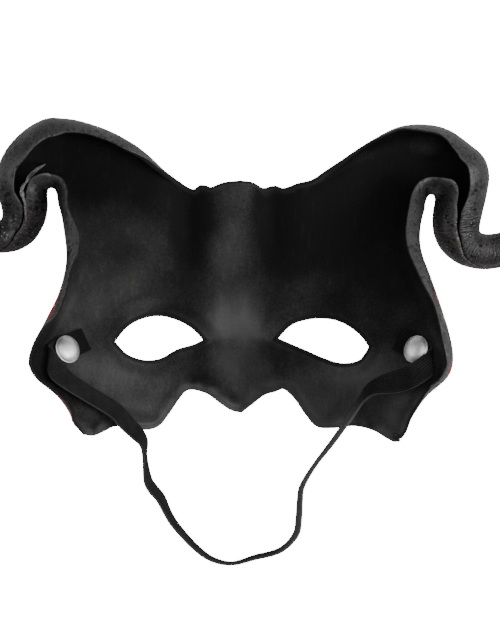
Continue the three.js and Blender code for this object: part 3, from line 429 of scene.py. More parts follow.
def height_at(places):
    """Height of the middle of the leather over places of the plan"""
    places = np.atleast_2d(places)
    x, y = places[:, 0], places[:, 1]
    furrows = sum(depth * np.exp(-((x - middle) / reach) ** 2) for middle, reach, depth in FURROWS)
    furrowed = smooth(*FURROWS_FROM, y) * (1 - smooth(*FURROWS_TO, y))
    folded = smooth(0, NOSE_FOLD_WIDTH, nose_fold(x) - y) * (1 - smooth(*NOSE_FOLD_ENDS, np.abs(x)))
    plate = plate_kernel(places, PLATE_CENTRES) @ PLATE_WEIGHTS[:-3] + PLATE_WEIGHTS[-3]
    return plate + places @ PLATE_WEIGHTS[-2:] - furrows * furrowed - NOSE_FOLD_DEPTH * folded


def normal_at(place):
    """Direction away from the leather on its hollow side"""
    east, west, north, south = height_at(np.add(place, [(1, 0), (-1, 0), (0, 1), (0, -1)]))
    normal = np.array([(west - east) / 2, (south - north) / 2, 1.0])
    return normal / np.linalg.norm(normal)


def edge_stations(points, rims, count, turn, sign, notch=None):
    """Crease line, outward direction and rim values at evenly spaced stations of an edge"""
    outline = curve_through(points, np.linspace(0, 1, 1600))
    if notch:
        x, y, radius, start = notch
        angles = np.radians(np.linspace(start, 90, 60)[1:])
        arc = np.stack([x + radius * np.cos(angles), y + radius * np.sin(angles)], 1)
        outline = np.vstack([outline, arc])
    lengths = walked(outline)
    along = np.gradient(outline, lengths, axis=0)
    outward = directions_of(turn * np.stack([along[:, 1], -along[:, 0]], 1))
    outward = rounded(outward, lengths, points[0][0] == 0)
    rim = values_at(rims, lengths / lengths[-1])
    crease = outline - rim[:, :1] * outward
    stations = np.hstack([crease * (sign, 1), outward * (sign, 1), rim])
    along_crease = walked(crease)
    evenly = np.linspace(0, along_crease[-1], count + 1)
    stations = np.stack([np.interp(evenly, along_crease, column) for column in stations.T], 1)
    stations[:, 2:4] /= np.linalg.norm(stations[:, 2:4], axis=1)[:, None]
    return stations[:, :2], stations[:, 2:4], stations[:, 4:]


def rounded(directions, lengths, starts_in_the_middle, reach=2.6):
    """Directions along an edge, turning no faster than the leather can bend"""
    evenly = np.arange(0, lengths[-1], 0.1)
    even = np.stack([np.interp(evenly, lengths, column) for column in directions.T], 1)
    count = int(4 * reach / 0.1)
    before = even[count:0:-1] * (-1, 1) if starts_in_the_middle else np.repeat(even[:1], count, 0)
    beyond = even[-2:-count - 2:-1]
    beyond = 2 * (beyond @ even[-1])[:, None] * even[-1] - beyond
    even = np.vstack([before, even, beyond])
    weights = np.exp(-(np.linspace(-4, 4, 2 * count + 1)) ** 2 / 2)
    even = np.stack([np.convolve(column, weights, "valid") for column in even.T], 1)
    return directions_of(np.stack([np.interp(lengths, evenly, column) for column in even.T], 1))


def walked(points):
    """Distance along a line of points"""
    return np.concatenate([[0], np.cumsum(np.linalg.norm(np.diff(points, axis=0), axis=1))]) + (
        np.arange(len(points)) * 1e-9)


def rim_points(crease, outward, rim, thickness, count):
    """Points of rims from their crease lines to their free edges, a row for each station"""
    depth, rise, over, lift, close = (column[:, None] for column in np.atleast_2d(rim).T)
    crease, outward = np.atleast_2d(crease), np.atleast_2d(outward)
    height = height_at(crease)[:, None]
    slope = height_at(crease + outward)[:, None] - height
    reach = depth - thickness / 2
    end = np.radians(90 + 90 * close)
    angle = end * np.arange(1, count + 1) / count
    out = reach * np.sin(angle)
    up = rise * (1 - np.cos(angle))
    low = close < 0
    out = np.where(low, out / np.sin(end), out)
    up = np.where(low, up / (1 - np.cos(end)) + lift * (1 + close) * (angle == end), up)
    leaning = ~low & (angle > math.pi / 2)
    back = np.maximum(0, over - thickness / 2) * (1 - np.sin(angle)) / np.maximum(1e-6, 1 - np.sin(end))
    out = np.where(leaning, reach - back, out)
    up = np.where(leaning, rise + lift * np.cos(angle) / np.minimum(-1e-6, np.cos(end)), up)
    plan = crease[:, None] + out[..., None] * outward[:, None]
    return np.concatenate([plan, (height + slope * out + up)[..., None]], 2)


def horn_section(half, fraction, sizes):
    """One section of a horn, from the free edge beside the notch to the outer free edge"""
    lead = 1 / (len(half["horn"]) - 1)
    in_x, in_y, out_x, out_y = curve_through(half["horn"], lead + (1 - lead) * fraction)[0]
    sign, rims, gates = half["sign"], sizes.rim_steps, sizes.gate_rows
    width = math.hypot(out_x - in_x, out_y - in_y)
    aside = np.array([sign * (out_x - in_x), out_y - in_y]) / width
    thinned = float(smooth(THINNED_FROM, 1, fraction))
    thickness = sizes.leather + (sizes.tip_leather - sizes.leather) * thinned
    under, inner_end, outer_end = values_at(half["roll"], fraction)[0]
    radius = (width - thickness) / 2
    centre = np.array([sign * (in_x + out_x) / 2, (in_y + out_y) / 2])
    lip = math.degrees((SEAM_GAP + thickness) / 2 / radius)
    angles = np.radians(np.concatenate([
        np.linspace(lip - inner_end, -FLOOR_ANGLE, rims + 1)[:-1],
        np.linspace(-FLOOR_ANGLE, FLOOR_ANGLE, gates + 1),
        np.linspace(FLOOR_ANGLE, outer_end - lip, rims + 1)[1:]]))
    plan = centre + radius * np.sin(angles)[:, None] * aside
    points = np.column_stack([plan, under + radius * (1 - np.cos(angles))])
    section = {"points": points, "thickness": thickness, "radius": radius, "centre": centre, "aside": aside,
               "under": under, "ends": (inner_end, outer_end), "lip": lip}
    if fraction >= CHANNEL_END:
        return section

    # near its root the horn is the open channel that the rims of the face run into
    root = math.dist(half["horn"][1][:2], half["horn"][1][2:])
    inner_rim, outer_rim = (np.array(half[name][-1][1:], float) for name in ("side_rim", "top_rim"))
    inner_rim[0] *= width / root
    outer_rim[0] *= width / root
    floor = np.array([sign * in_x, in_y]) + (
        np.linspace(inner_rim[0], width - outer_rim[0], gates + 1)[:, None] * aside)
    channel = np.vstack([
        rim_points(floor[0], -aside, inner_rim, thickness, rims)[0][::-1],
        np.column_stack([floor, height_at(floor)]),
        rim_points(floor[-1], aside, outer_rim, thickness, rims)[0]])
    section["points"] = channel + (points - channel) * smooth(0, CHANNEL_END, fraction)
    return section


class Sheet:
    """The middle surface of the leather while it is laid out: points, what each carries, and faces"""

    def __init__(self):
        """An empty sheet"""
        self.points, self.thickness, self.along, self.horn, self.met = ([] for _ in range(5))
        self.faces, self.flat = [], []

    def add(self, points, thickness, along=0.0, horn=0.0, met=0.0, flat=False):
        """Adds points and returns their numbers"""
        points = np.asarray(points, float)
        shape = points.shape[:-1]
        points = points.reshape(-1, points.shape[-1])
        if points.shape[1] == 2:
            points = np.column_stack([points, np.zeros(len(points))])
        first = len(self.points)
        numbers = np.arange(first, first + len(points))
        self.points.extend(points)
        self.thickness.extend(np.broadcast_to(thickness, shape).ravel())
        self.along.extend(np.broadcast_to(along, shape).ravel())
        self.horn.extend(np.broadcast_to(horn, shape).ravel())
        self.met.extend(np.broadcast_to(met, shape).ravel())
        if flat:
            self.flat.extend(numbers)
        return numbers.reshape(shape)

    def join(self, grid, sign):
        """Faces between the columns of a grid of numbers, anticlockwise as seen from the hollow side"""
        quads = np.stack([grid[:-1, :-1], grid[1:, :-1], grid[1:, 1:], grid[:-1, 1:]], -1).reshape(-1, 4)
        self.faces.extend(quads if sign > 0 else quads[:, ::-1])


def evened(grid, rounds=500):
    """A grid of places between fixed edges, evened out so that none of its cells is folded over"""
    for _ in range(rounds):
        east, west, north, south = grid[2:, 1:-1], grid[:-2, 1:-1], grid[1:-1, 2:], grid[1:-1, :-2]
        across, up = (east - west) / 2, (north - south) / 2
        pairs = (across, across), (up, up), (across, up)
        wide, tall, skew = ((a * b).sum(-1)[..., None] for a, b in pairs)
        corners = grid[2:, 2:] - grid[:-2, 2:] - grid[2:, :-2] + grid[:-2, :-2]
        middle = (tall * (east + west) + wide * (north + south) - skew / 2 * corners) / (2 * (wide + tall))
        grid[1:-1, 1:-1] = middle
    return grid


def lay_half(sheet, half, middle, nose_rim, brow_rim, sizes):
    """One half of the mask. The points of the middle line are shared by both halves."""
    sign, rims, gates = half["sign"], sizes.rim_steps, sizes.gate_rows
    columns, rows = sizes.columns, sizes.side_rows + sizes.gate_rows
    bottom = edge_stations(half["bottom"], PLAIN_RIM, columns, 1, sign)
    side = edge_stations(half["side"], half["side_rim"], sizes.side_rows, 1, sign, half["notch"])
    top = edge_stations(half["top"], half["top_rim"], columns, -1, sign)
    sections = [horn_section(half, k / sizes.horn_steps, sizes) for k in range(sizes.horn_steps + 1)]
    gate = sections[0]["points"][rims:rims + gates + 1, :2]

    # the face, between its four edges, which meet at its corners
    right = np.vstack([bottom[0][-1:], side[0][1:-1], gate])[None]
    top[0][-1] = gate[-1]
    left = np.array([sheet.points[number][:2] for number in middle])[None]
    u = (np.arange(1, columns + 1) / columns)[:, None, None]
    v = (np.arange(rows + 1) / rows)[None, :, None]
    low, high = bottom[0][1:, None], top[0][1:, None]
    plan = ((1 - v) * low + v * high + (1 - u) * left + u * right
            - (1 - u) * ((1 - v) * left[:, :1] + v * left[:, -1:])
            - u * ((1 - v) * right[:, :1] + v * right[:, -1:]))
    plan = evened(np.vstack([left, plan]))[1:]
    face = np.vstack([middle[None], sheet.add(plan, sizes.leather, flat=True)])
    sheet.join(face, sign)

    # the leather under the horn, and the rims on both sides of it
    centres = np.array([section["centre"] for section in sections])
    along = walked(centres)[:, None]
    points = np.array([section["points"] for section in sections])
    thickness = np.array([section["thickness"] for section in sections])[:, None]
    grid = np.zeros(points.shape[:2], int)
    met = np.array([smooth(*MET_ANGLES, sum(section["ends"])) for section in sections])[:, None]
    grid[1:] = sheet.add(points[1:], thickness[1:], along[1:], 1.0, met[1:])
    grid[0, :rims] = sheet.add(points[0, :rims], sizes.leather, 0.0, 1.0)
    grid[0, rims + gates + 1:] = sheet.add(points[0, rims + gates + 1:], sizes.leather, 0.0, 1.0)
    grid[0, rims:rims + gates + 1] = face[-1, sizes.side_rows:]
    sheet.join(grid, sign)

    # the rims of the face
    lower = sheet.add(rim_points(*(part[1:] for part in bottom), sizes.leather, rims), sizes.leather)
    upright = sheet.add(rim_points(*(part[1:-1] for part in side), sizes.leather, rims), sizes.leather)
    lower = np.column_stack([face[1:, 0], lower])
    upright = np.column_stack([face[-1, 1:sizes.side_rows], upright])
    sheet.join(np.vstack([nose_rim, lower, upright, grid[:1, :rims + 1][:, ::-1]]), -sign)
    upper = sheet.add(rim_points(*(part[1:-1] for part in top), sizes.leather, rims), sizes.leather)
    upper = np.column_stack([face[1:-1, -1], upper])
    sheet.join(np.vstack([brow_rim, upper, grid[:1, rims + gates:]]), sign)

    # the end of the horn is rolled shut round its tip
    tip, before = sections[-1], sections[-2]
    forward = tip["centre"] - before["centre"]
    forward /= np.linalg.norm(forward)
    inner_end, outer_end = tip["ends"]
    fan = [grid[-1, :rims + 1][::-1]]
    for k in range(1, gates):
        turn = math.pi * k / gates
        end = inner_end + (outer_end - inner_end) * k / gates - tip["lip"]
        around = math.sin(turn) * forward - math.cos(turn) * tip["aside"]
        angles = np.radians(np.linspace(FLOOR_ANGLE, end, rims + 1)[1:])
        out = tip["centre"] + tip["radius"] * np.sin(angles)[:, None] * around
        up = tip["under"] + tip["radius"] * (1 - np.cos(angles))
        added = sheet.add(np.column_stack([out, up]), tip["thickness"], along[-1, 0], 1.0, 1.0)
        fan.append(np.concatenate([grid[-1, rims + k:rims + k + 1], added]))
    fan.append(grid[-1, rims + gates:])
    sheet.join(np.array(fan), -sign)


def hole_outline(points, corners):
    """A smooth closed line round a hole, sharp only at its corners"""
    count = len(points)
    outline = []
    for k in range(count):
        rows = [points[(k + d) % count] for d in (-1, 0, 1, 2)]
        if k in corners:
            rows[0] = rows[1]
        if (k + 1) % count in corners:
            rows[3] = rows[2]
        outline.append(curve_through(rows, (1 + np.arange(HOLE_STEPS) / HOLE_STEPS) / 3))
    return np.vstack(outline)


def cut_hole(sheet, points, corners, rounding):
    """Cuts a hole through the face: the faces inside it go, and the points round them move onto its line,
    from which the leather's edge rounds into the hole"""
    along = directions_of(np.roll(points, -1, 0) - np.roll(points, 1, 0))
    points = points + rounding * np.column_stack([along[:, 1], -along[:, 0]])
    outline = hole_outline(points, corners)
    places = np.array(sheet.points)[:, :2]
    faces = np.array(sheet.faces)
    middles = places[faces].mean(1)
    ax, ay = outline.T
    bx, by = np.roll(outline, -1, 0).T
    x, y = middles[:, :1], middles[:, 1:]
    with np.errstate(divide="ignore", invalid="ignore"):
        crossed = ((ay > y) != (by > y)) & (x < ax + (bx - ax) * (y - ay) / (by - ay))
    inside = crossed.sum(1) % 2 == 1
    dropped = faces[inside]
    sheet.faces = list(faces[~inside])
    edges = {(a, b) for face in dropped for a, b in zip(face, np.roll(face, -1))}
    following = {a: b for a, b in edges if (b, a) not in edges}
    loop = [next(iter(sorted(following)))]
    while following[loop[-1]] != loop[0]:
        loop.append(following[loop[-1]])
    loop = np.array(loop)

    # each point of the loop goes to the nearest place of the line, then they spread evenly between corners
    lengths = np.concatenate([walked(outline), [0]])
    lengths[-1] = lengths[-2] + np.linalg.norm(outline[-1] - outline[0])
    gaps = np.linalg.norm(places[loop][:, None] - outline[None], axis=2)
    pinned = [int(np.argmin(np.linalg.norm(places[loop] - points[corner], axis=1))) for corner in corners]
    marks = [lengths[corner * HOLE_STEPS] for corner in corners]
    closed = np.vstack([outline, outline[:1]])
    for k, first in enumerate(pinned):
        last = pinned[(k + 1) % len(pinned)]
        links = (last - first) % len(loop)
        low = marks[k]
        high = marks[(k + 1) % len(marks)]
        high += lengths[-1] if high <= low else 0
        members = (first + np.arange(links + 1)) % len(loop)
        stretch = (lengths[:-1][None] - low) % lengths[-1]
        outside = stretch[0] > high - low
        near = np.where(outside[None], 1e9, gaps[members]).argmin(1)
        at = stretch[0][near]
        at[0], at[-1] = 0, high - low
        at = np.maximum.accumulate(at)
        for _ in range(40):
            at[1:-1] = 0.5 * at[1:-1] + 0.25 * (at[:-2] + at[2:])
        for member, distance in zip(members, at):
            walk = (low + distance) % (lengths[-1] + 1e-9)
            sheet.points[loop[member]][:2] = [np.interp(walk, lengths, column) for column in closed.T]
    return loop


def links_of(faces):
    """Both ways round, the pairs of points that share a side of a face"""
    links = np.vstack([faces[:, [k, (k + 1) % 4]] for k in range(4)])
    return np.unique(np.vstack([links, links[:, ::-1]]), axis=0)


def mean_of_linked(points, links, counts):
    """The mean place of the points that each point is linked to"""
    sums = [np.bincount(links[:, 0], points[links[:, 1], c], len(points)) for c in range(points.shape[1])]
    return np.stack(sums, 1) / counts[:, None]


def relax(sheet, held, reach=11.0, rounds=60):
    """Evens out the plan of the face near the holes"""
    places = np.array(sheet.points)[:, :2]
    links = links_of(np.array(sheet.faces))
    flat = np.zeros(len(places), bool)
    flat[sheet.flat] = True
    bordering = np.zeros(len(places), bool)
    bordering[links[~flat[links[:, 1]], 0]] = True
    near = np.zeros(len(places), bool)
    for start in range(0, len(places), 4000):
        part = places[start:start + 4000]
        gaps = np.linalg.norm(part[:, None] - places[held][None, ::2], axis=2).min(1)
        near[start:start + 4000] = gaps < reach
    used = np.zeros(len(places), bool)
    used[links[:, 0]] = True
    free = flat & near & used & ~bordering
    free[held] = False
    links = links[free[links[:, 0]]]
    counts = np.maximum(1, np.bincount(links[:, 0], minlength=len(places)))
    for _ in range(rounds):
        places[free] = mean_of_linked(places, links, counts)[free]
    for number in np.flatnonzero(free):
        sheet.points[number][:2] = places[number]


def lay_sheet(sizes):
    """The middle surface of the whole mask"""
    sheet = Sheet()
    rows = sizes.side_rows + sizes.gate_rows
    shared = []
    for name, rims, turn, outward in (("bottom", PLAIN_RIM, 1, -1), ("top", RIGHT_HALF["top_rim"], -1, 1)):
        crease, _, rim = edge_stations(RIGHT_HALF[name], rims, sizes.columns, turn, 1)
        shared.append((np.array([0.0, crease[0, 1]]), np.array([0.0, outward]), rim[0]))
    ends = shared[0][0][1], shared[1][0][1]
    line = np.column_stack([np.zeros(rows + 1), np.linspace(*ends, rows + 1)])
    middle = sheet.add(line, sizes.leather, flat=True)
    nose_rim, brow_rim = (
        np.concatenate([[number], sheet.add(rim_points(*station, sizes.leather, sizes.rim_steps)[0],
                                            sizes.leather)])
        for number, station in ((middle[0], shared[0]), (middle[-1], shared[1])))
    for half in (RIGHT_HALF, LEFT_HALF):
        lay_half(sheet, half, middle, nose_rim, brow_rim, sizes)
    held = np.concatenate([cut_hole(sheet, np.array(points), corners, sizes.leather / 2)
                           for points, corners in EYES])
    relax(sheet, held)
    flat = np.array(sheet.flat)
    points = np.array(sheet.points)
    points[flat, 2] = height_at(points[flat, :2])
    return sheet, points


def soften(points, links, held, rises, reach, rounds):
    """Smooths the points at some heights over the two notches, apart from the held ones"""
    centres = [(half["sign"] * half["notch"][0], half["notch"][1] + rise)
               for half in (RIGHT_HALF, LEFT_HALF) for rise in rises]
    counts = np.maximum(1, np.bincount(links[:, 0], minlength=len(points)))
    gaps = np.min([np.linalg.norm(points[:, :2] - centre, axis=1) for centre in centres], axis=0)
    amount = ((1 - smooth(0.5 * reach, reach, gaps)) * ~held)[:, None]
    for _ in range(rounds):
        points = points + 0.6 * amount * (mean_of_linked(points, links, counts) - points)
    return points


def directions_of(vectors):
    """The rows of a table of vectors, each made one long"""
    lengths = np.linalg.norm(vectors, axis=1)
    return vectors / np.maximum(lengths, 1e-12)[:, None]


def free_edges(faces, count):
    """The sides of faces that no other face shares, going round as their own face does"""
    directed = np.vstack([faces[:, [k, (k + 1) % 4]] for k in range(4)])
    keys = directed[:, 0] * count + directed[:, 1]
    twins = directed[:, 1] * count + directed[:, 0]
    return directed[~np.isin(keys, twins)]


def surface_normals(points, faces):
    """Direction away from the leather at each point. Small faces count for as much as wide ones or more, so
    that it doesn't lean where the two meet"""
    a, b, c, d = (points[faces[:, k]] for k in range(4))
    face_normals = np.cross(c - a, d - b)
    face_areas = np.linalg.norm(face_normals, axis=1)[:, None]
    face_normals /= np.maximum(face_areas, 1e-9) * (face_areas + 0.05)
    normals = np.zeros_like(points)
    for k in range(4):
        np.add.at(normals, faces[:, k], face_normals)
    return directions_of(normals)


def outward_at_edge(points, free, normals):
    """Direction out of the leather along its free edges"""
    push = np.zeros_like(points)
    along = points[free[:, 1]] - points[free[:, 0]]
    for k in (0, 1):
        np.add.at(push, free[:, k], directions_of(np.cross(along, normals[free[:, k]])))
    return directions_of(push)


def pared_leather(sheet, points, from_edge, sizes):
    """Thickness at each point: pared towards the cut edges, less so at the brow, not where a horn is shut"""
    thickness = np.array(sheet.thickness)
    brow = smooth(*BROW_FROM, points[:, 1]) * (1 - smooth(*BROW_TO, np.abs(points[:, 0])))
    edge = sizes.edge_leather + BROW_SPARED * (sizes.leather - sizes.edge_leather) * brow
    pared = edge + (sizes.leather - edge) * smooth(0, sizes.paring, from_edge)
    pared = np.minimum(pared, thickness)
    return pared + (thickness - pared) * np.array(sheet.met)


def thick_leather(sizes):
    """The mask as a closed mesh: vertices, quads and the side that each is on, then at each vertex its
    values, its side and the direction away from the leather"""
    sheet, points = lay_sheet(sizes)
    faces = np.array(sheet.faces)
    free = free_edges(faces, len(points))
    rim = np.unique(free)
    on_edge = np.zeros(len(points), bool)
    on_edge[rim] = True
    links = links_of(faces)
    points = soften(points, links, on_edge, *GATES)
    normals = surface_normals(points, faces)
    push = outward_at_edge(points, free, normals)

    # two layers, and the strips that join them round the cut edge, which is nearly square
    rounds = len(EDGE_SIDES) - 1
    place_in_rim = np.full(len(points), -1)
    place_in_rim[rim] = np.arange(len(rim))
    half = np.array(sheet.thickness)[:, None] / 2
    met = np.array(sheet.met)[:, None]
    from_edge = distance_from(points, points[rim])
    pared = pared_leather(sheet, points, from_edge, sizes)[:, None]
    middle = points + normals * (pared / 2 - half)
    outer = soften(middle - normals * pared / 2, links, on_edge, *TURNS)
    layers = [middle + normals * pared / 2, outer]
    for k in range(1, rounds + 1):
        angle = math.pi * (0.5 - k / (rounds + 1))
        short = (1 - abs(math.cos(angle)) ** EDGE_POWERS[0]) * pared[rim] / 2 * (1 - SEAM_SQUARED * met[rim])
        up = math.copysign(abs(math.sin(angle)) ** EDGE_POWERS[1], math.sin(angle))
        layers.append(middle[rim] + (half[rim] - short) * push[rim] + pared[rim] / 2 * up * normals[rim])
    vertices = np.vstack(layers)
    count = len(points)
    rows = [free, *(2 * count + k * len(rim) + place_in_rim[free] for k in range(rounds)), free + count]
    quads, sides = [faces, faces[:, ::-1] + count], [0] * len(faces) + [2] * len(faces)
    for number, (upper, lower) in enumerate(zip(rows[:-1], rows[1:])):
        quads.append(np.column_stack([upper[:, 1], upper[:, 0], lower[:, 0], lower[:, 1]]))
        sides += [EDGE_SIDES[number]] * len(free)
    values = {
        "along_horn": np.array(sheet.along) * MM,
        "horn": np.array(sheet.horn),
        "from_edge": from_edge * MM,
    }
    rim_rows = np.tile(rim, rounds)
    values = {name: np.concatenate([column, column, column[rim_rows]]) for name, column in values.items()}
    kinds = np.concatenate([np.zeros(count), np.full(count, 2.0), np.ones(len(rim_rows))])
    sources = np.concatenate([np.arange(count), np.arange(count), rim_rows])
    return vertices, np.vstack(quads), sides, values, kinds, normals[sources]


def distance_from(points, line):
    """Distance of each point from the nearest point of a line"""
    found = np.zeros(len(points))
    for start in range(0, len(points), 2000):
        part = points[start:start + 2000]
        gaps = ((part[:, None] - line[None]) ** 2).sum(2).min(1)
        found[start:start + 2000] = np.sqrt(gaps)
    return found


def uneven(points, size, seed):
    """Smooth chance values from -1 to 1 at each point, of about the given size in millimetres"""
    shift = Vector((seed * 17.3, seed * 5.9, seed * 11.7))
    return np.array([noise.noise(Vector(p) / size + shift) for p in points])


def ridge(points, start, end, width):
    """1 on the line from start to end in the plan, falling to 0 beside it"""
    start, end = np.array(start, float), np.array(end, float)
    along = end - start
    f = np.clip((points[:, :2] - start) @ along / (along @ along), 0, 1)
    gaps = np.linalg.norm(points[:, :2] - start - f[:, None] * along, axis=1)
    return np.exp(-(gaps / width) ** 2) * np.sin(np.pi * np.clip(f * 0.9 + 0.05, 0, 1)) ** 0.5


def mould(vertices, values, kinds, normals):
    """Works the leather's finer unevenness into the mesh: thumb marks, creases and a ragged cut edge"""
    swell = sum(depth * uneven(vertices, size, seed) for depth, size, seed in SWELLS)
    creases = -sum(depth * ridge(vertices, start, end, width) for start, end, width, depth in CREASES)
    face_side = kinds == 2
    amount = np.where(face_side, 0.6 * swell, swell + creases)
    amount *= 1 - 0.6 * values["horn"] * smooth(0.06, 0.2, values["along_horn"])
    vertices = vertices + normals * amount[:, None]
    near_edge = 1 - smooth(0.0, 0.004, values["from_edge"])
    ragged = sum(depth * uneven(vertices, size, seed) for depth, size, seed in EDGE_WAVES)
    return vertices + normals * (ragged * near_edge)[:, None]


def tube_quads(rings, sides, flipped=False):
    """Numbers of the points of a tube, ring after ring, and the faces between the rings"""
    number = np.arange(rings * sides).reshape(rings, sides)
    ahead = np.roll(number, -1, axis=1)
    corners = [number[:-1], ahead[:-1], ahead[1:], number[1:]]
    if flipped:
        corners = [number[:-1], number[1:], ahead[1:], ahead[:-1]]
    return number, np.stack(corners, -1).reshape(-1, 4).tolist()


def torn_lip(steps=90, around=8):
    """The torn ply as a thin ragged strip: its points and faces"""
    rows = curve_through(TORN_LIP, np.linspace(0, 1, steps + 1))
    middle = rows[:, :3]
    along = directions_of(np.gradient(middle, axis=0))
    side = directions_of(np.cross(along, (0.25, 0.1, 1.0)))
    face = np.cross(side, along)
    width = rows[:, 3] * (1 + 0.5 * uneven(middle, 0.9, 8)) + 0.05
    middle = middle + face * 0.4 * uneven(middle, 1.6, 9)[:, None]
    turns = np.arange(around) * 2 * math.pi / around
    points = (middle[:, None] + side[:, None] * (width[:, None] * np.cos(turns))[..., None]
              + face[:, None] * (0.2 * np.sin(turns))[None, :, None])
    number, quads = tube_quads(len(rows), around)
    return points.reshape(-1, 3), [*quads, number[0][::-1].tolist(), number[-1].tolist()]


def black_dye(vertices, values):
    """How far the black of the horns and the rims has spread over the red, from 0 to 1"""
    x, y = vertices[:, 0], vertices[:, 1]
    horns = smooth(52, 74, np.abs(x)) * smooth(8, 30, y)

    # from the rims it reaches in a little, unevenly, more beside the horns and on the right
    spread_in = 0.0024 + 0.014 * smooth(-4, 8, y) + 0.0012 * (x > 0) + 0.0006 * uneven(vertices, 9, 3)
    for middle_x, middle_y, reach, amount in RED_EDGES:
        spread_in -= amount * np.exp(-((x - middle_x) ** 2 + (y - middle_y) ** 2) / reach ** 2)
    rims = 1 - smooth(0, 0.0015 + 0.001 * smooth(-4, 8, y), values["from_edge"] - spread_in)
    return np.clip(np.maximum(horns, rims) + values["horn"], 0, 1)


def dye_wear_and_painted_light(vertices, kinds, from_edge):
    """How far the black is worn to grey, with painted highlights and painted shade, on the hollow side,
    the cut edges and the grain side
    """
    x, y = vertices[:, 0], vertices[:, 1]
    wear_and_painted_light = 0.2 * uneven(vertices, 11, 7)
    rubbed_and_painted_light = np.zeros(len(vertices))
    # both tables bring painted highlights and painted shade in with the wear
    for places, amounts in ((WORN_AND_PAINTED_LIGHT, wear_and_painted_light), (RUBBED_AND_PAINTED_LIGHT, rubbed_and_painted_light)):
        for middle_x, middle_y, reach_x, reach_y, amount in places:
            amounts += amount * np.exp(-((x - middle_x) / reach_x) ** 2 - ((y - middle_y) / reach_y) ** 2)

    # painted shade darkens the nose below its fold, and the fold and just above are rubbed and lightened
    # with a painted highlight
    below_fold = nose_fold(x) - y
    nose = smooth(-1, 2, below_fold) * (1 - smooth(14, 24, np.abs(x)))
    fold = smooth(-9, 0, below_fold) * (1 - smooth(10, 20, np.abs(x)))
    wear_and_painted_light += 0.3 * fold - 0.5 * nose

    # the lower edge is frayed, and along it the hollow side is painted paler as a painted light fringe
    low = 1 - smooth(-44, -36, y)
    wear_and_painted_light += 1.3 * low * np.exp(-(from_edge / 0.0025) ** 2) * (0.6 + 0.8 * uneven(vertices, 4, 10))
    frayed = 0.25 + 0.75 * low
    return np.choose(kinds.astype(int), (wear_and_painted_light, frayed, rubbed_and_painted_light))


def node(tree, kind, inputs=None, **settings):
    """A shader node, with its settings, and with its inputs set to values or linked to outputs"""
    made = tree.nodes.new(kind)
    for name, value in settings.items():
        setattr(made, name, value)
    for name, value in (inputs or {}).items():
        if isinstance(value, bpy.types.NodeSocket):
            tree.links.new(value, made.inputs[name])
        else:
            made.inputs[name].default_value = value
    return made


def maths(tree, operation, *values, clamp=False):
    """A sum on one, two or three values"""
    inputs = dict(enumerate(values))
    return node(tree, "ShaderNodeMath", inputs, operation=operation, use_clamp=clamp).outputs[0]


def times(tree, first, second):
    """Two values multiplied"""
    return maths(tree, "MULTIPLY", first, second)


def plus(tree, first, second):
    """Two values added"""
    return maths(tree, "ADD", first, second)


def carried(tree, name):
    """A value that the mesh carries at its points"""
    return node(tree, "ShaderNodeAttribute", attribute_name=name).outputs["Fac"]


def place_on(tree):
    """The place on the object, in metres"""
    return node(tree, "ShaderNodeTexCoord").outputs["Object"]


def scaled(colour, amount):
    """A colour made darker or lighter"""
    return tuple(amount * value for value in colour)


def spread(tree, value, low, high, first=0.0, last=1.0):
    """Takes a value from the range low to high over to the range first to last, smoothly"""
    inputs = {"Value": value, "From Min": low, "From Max": high, "To Min": first, "To Max": last}
    return node(tree, "ShaderNodeMapRange", inputs, interpolation_type="SMOOTHSTEP").outputs[0]


def blend(tree, factor, first, second):
    """A mix of two colours"""
    mixed = node(tree, "ShaderNodeMix", data_type="RGBA")
    for number, value in ((0, factor), (6, first), (7, second)):
        if isinstance(value, bpy.types.NodeSocket):
            tree.links.new(value, mixed.inputs[number])
        elif number:
            mixed.inputs[number].default_value = (*value[:3], 1)
        else:
            mixed.inputs[number].default_value = value
    return mixed.outputs[2]


def clouds(tree, where, scale, detail=3.0, roughness=0.55):
    """Soft chance values over the surface"""
    inputs = {"Vector": where, "Scale": scale, "Detail": detail, "Roughness": roughness}
    return node(tree, "ShaderNodeTexNoise", inputs).outputs["Fac"]


def new_group(name, inputs, outputs):
    """A group of shader nodes with named inputs and outputs, and the nodes that stand for those inside it"""
    group = bpy.data.node_groups.new(name, "ShaderNodeTree")
    for label, default in inputs.items():
        socket = group.interface.new_socket(label, in_out="INPUT", socket_type="NodeSocketFloat")
        socket.default_value = default
    for label in outputs:
        group.interface.new_socket(label, in_out="OUTPUT", socket_type="NodeSocketFloat")
    return group, group.nodes.new("NodeGroupInput"), group.nodes.new("NodeGroupOutput")


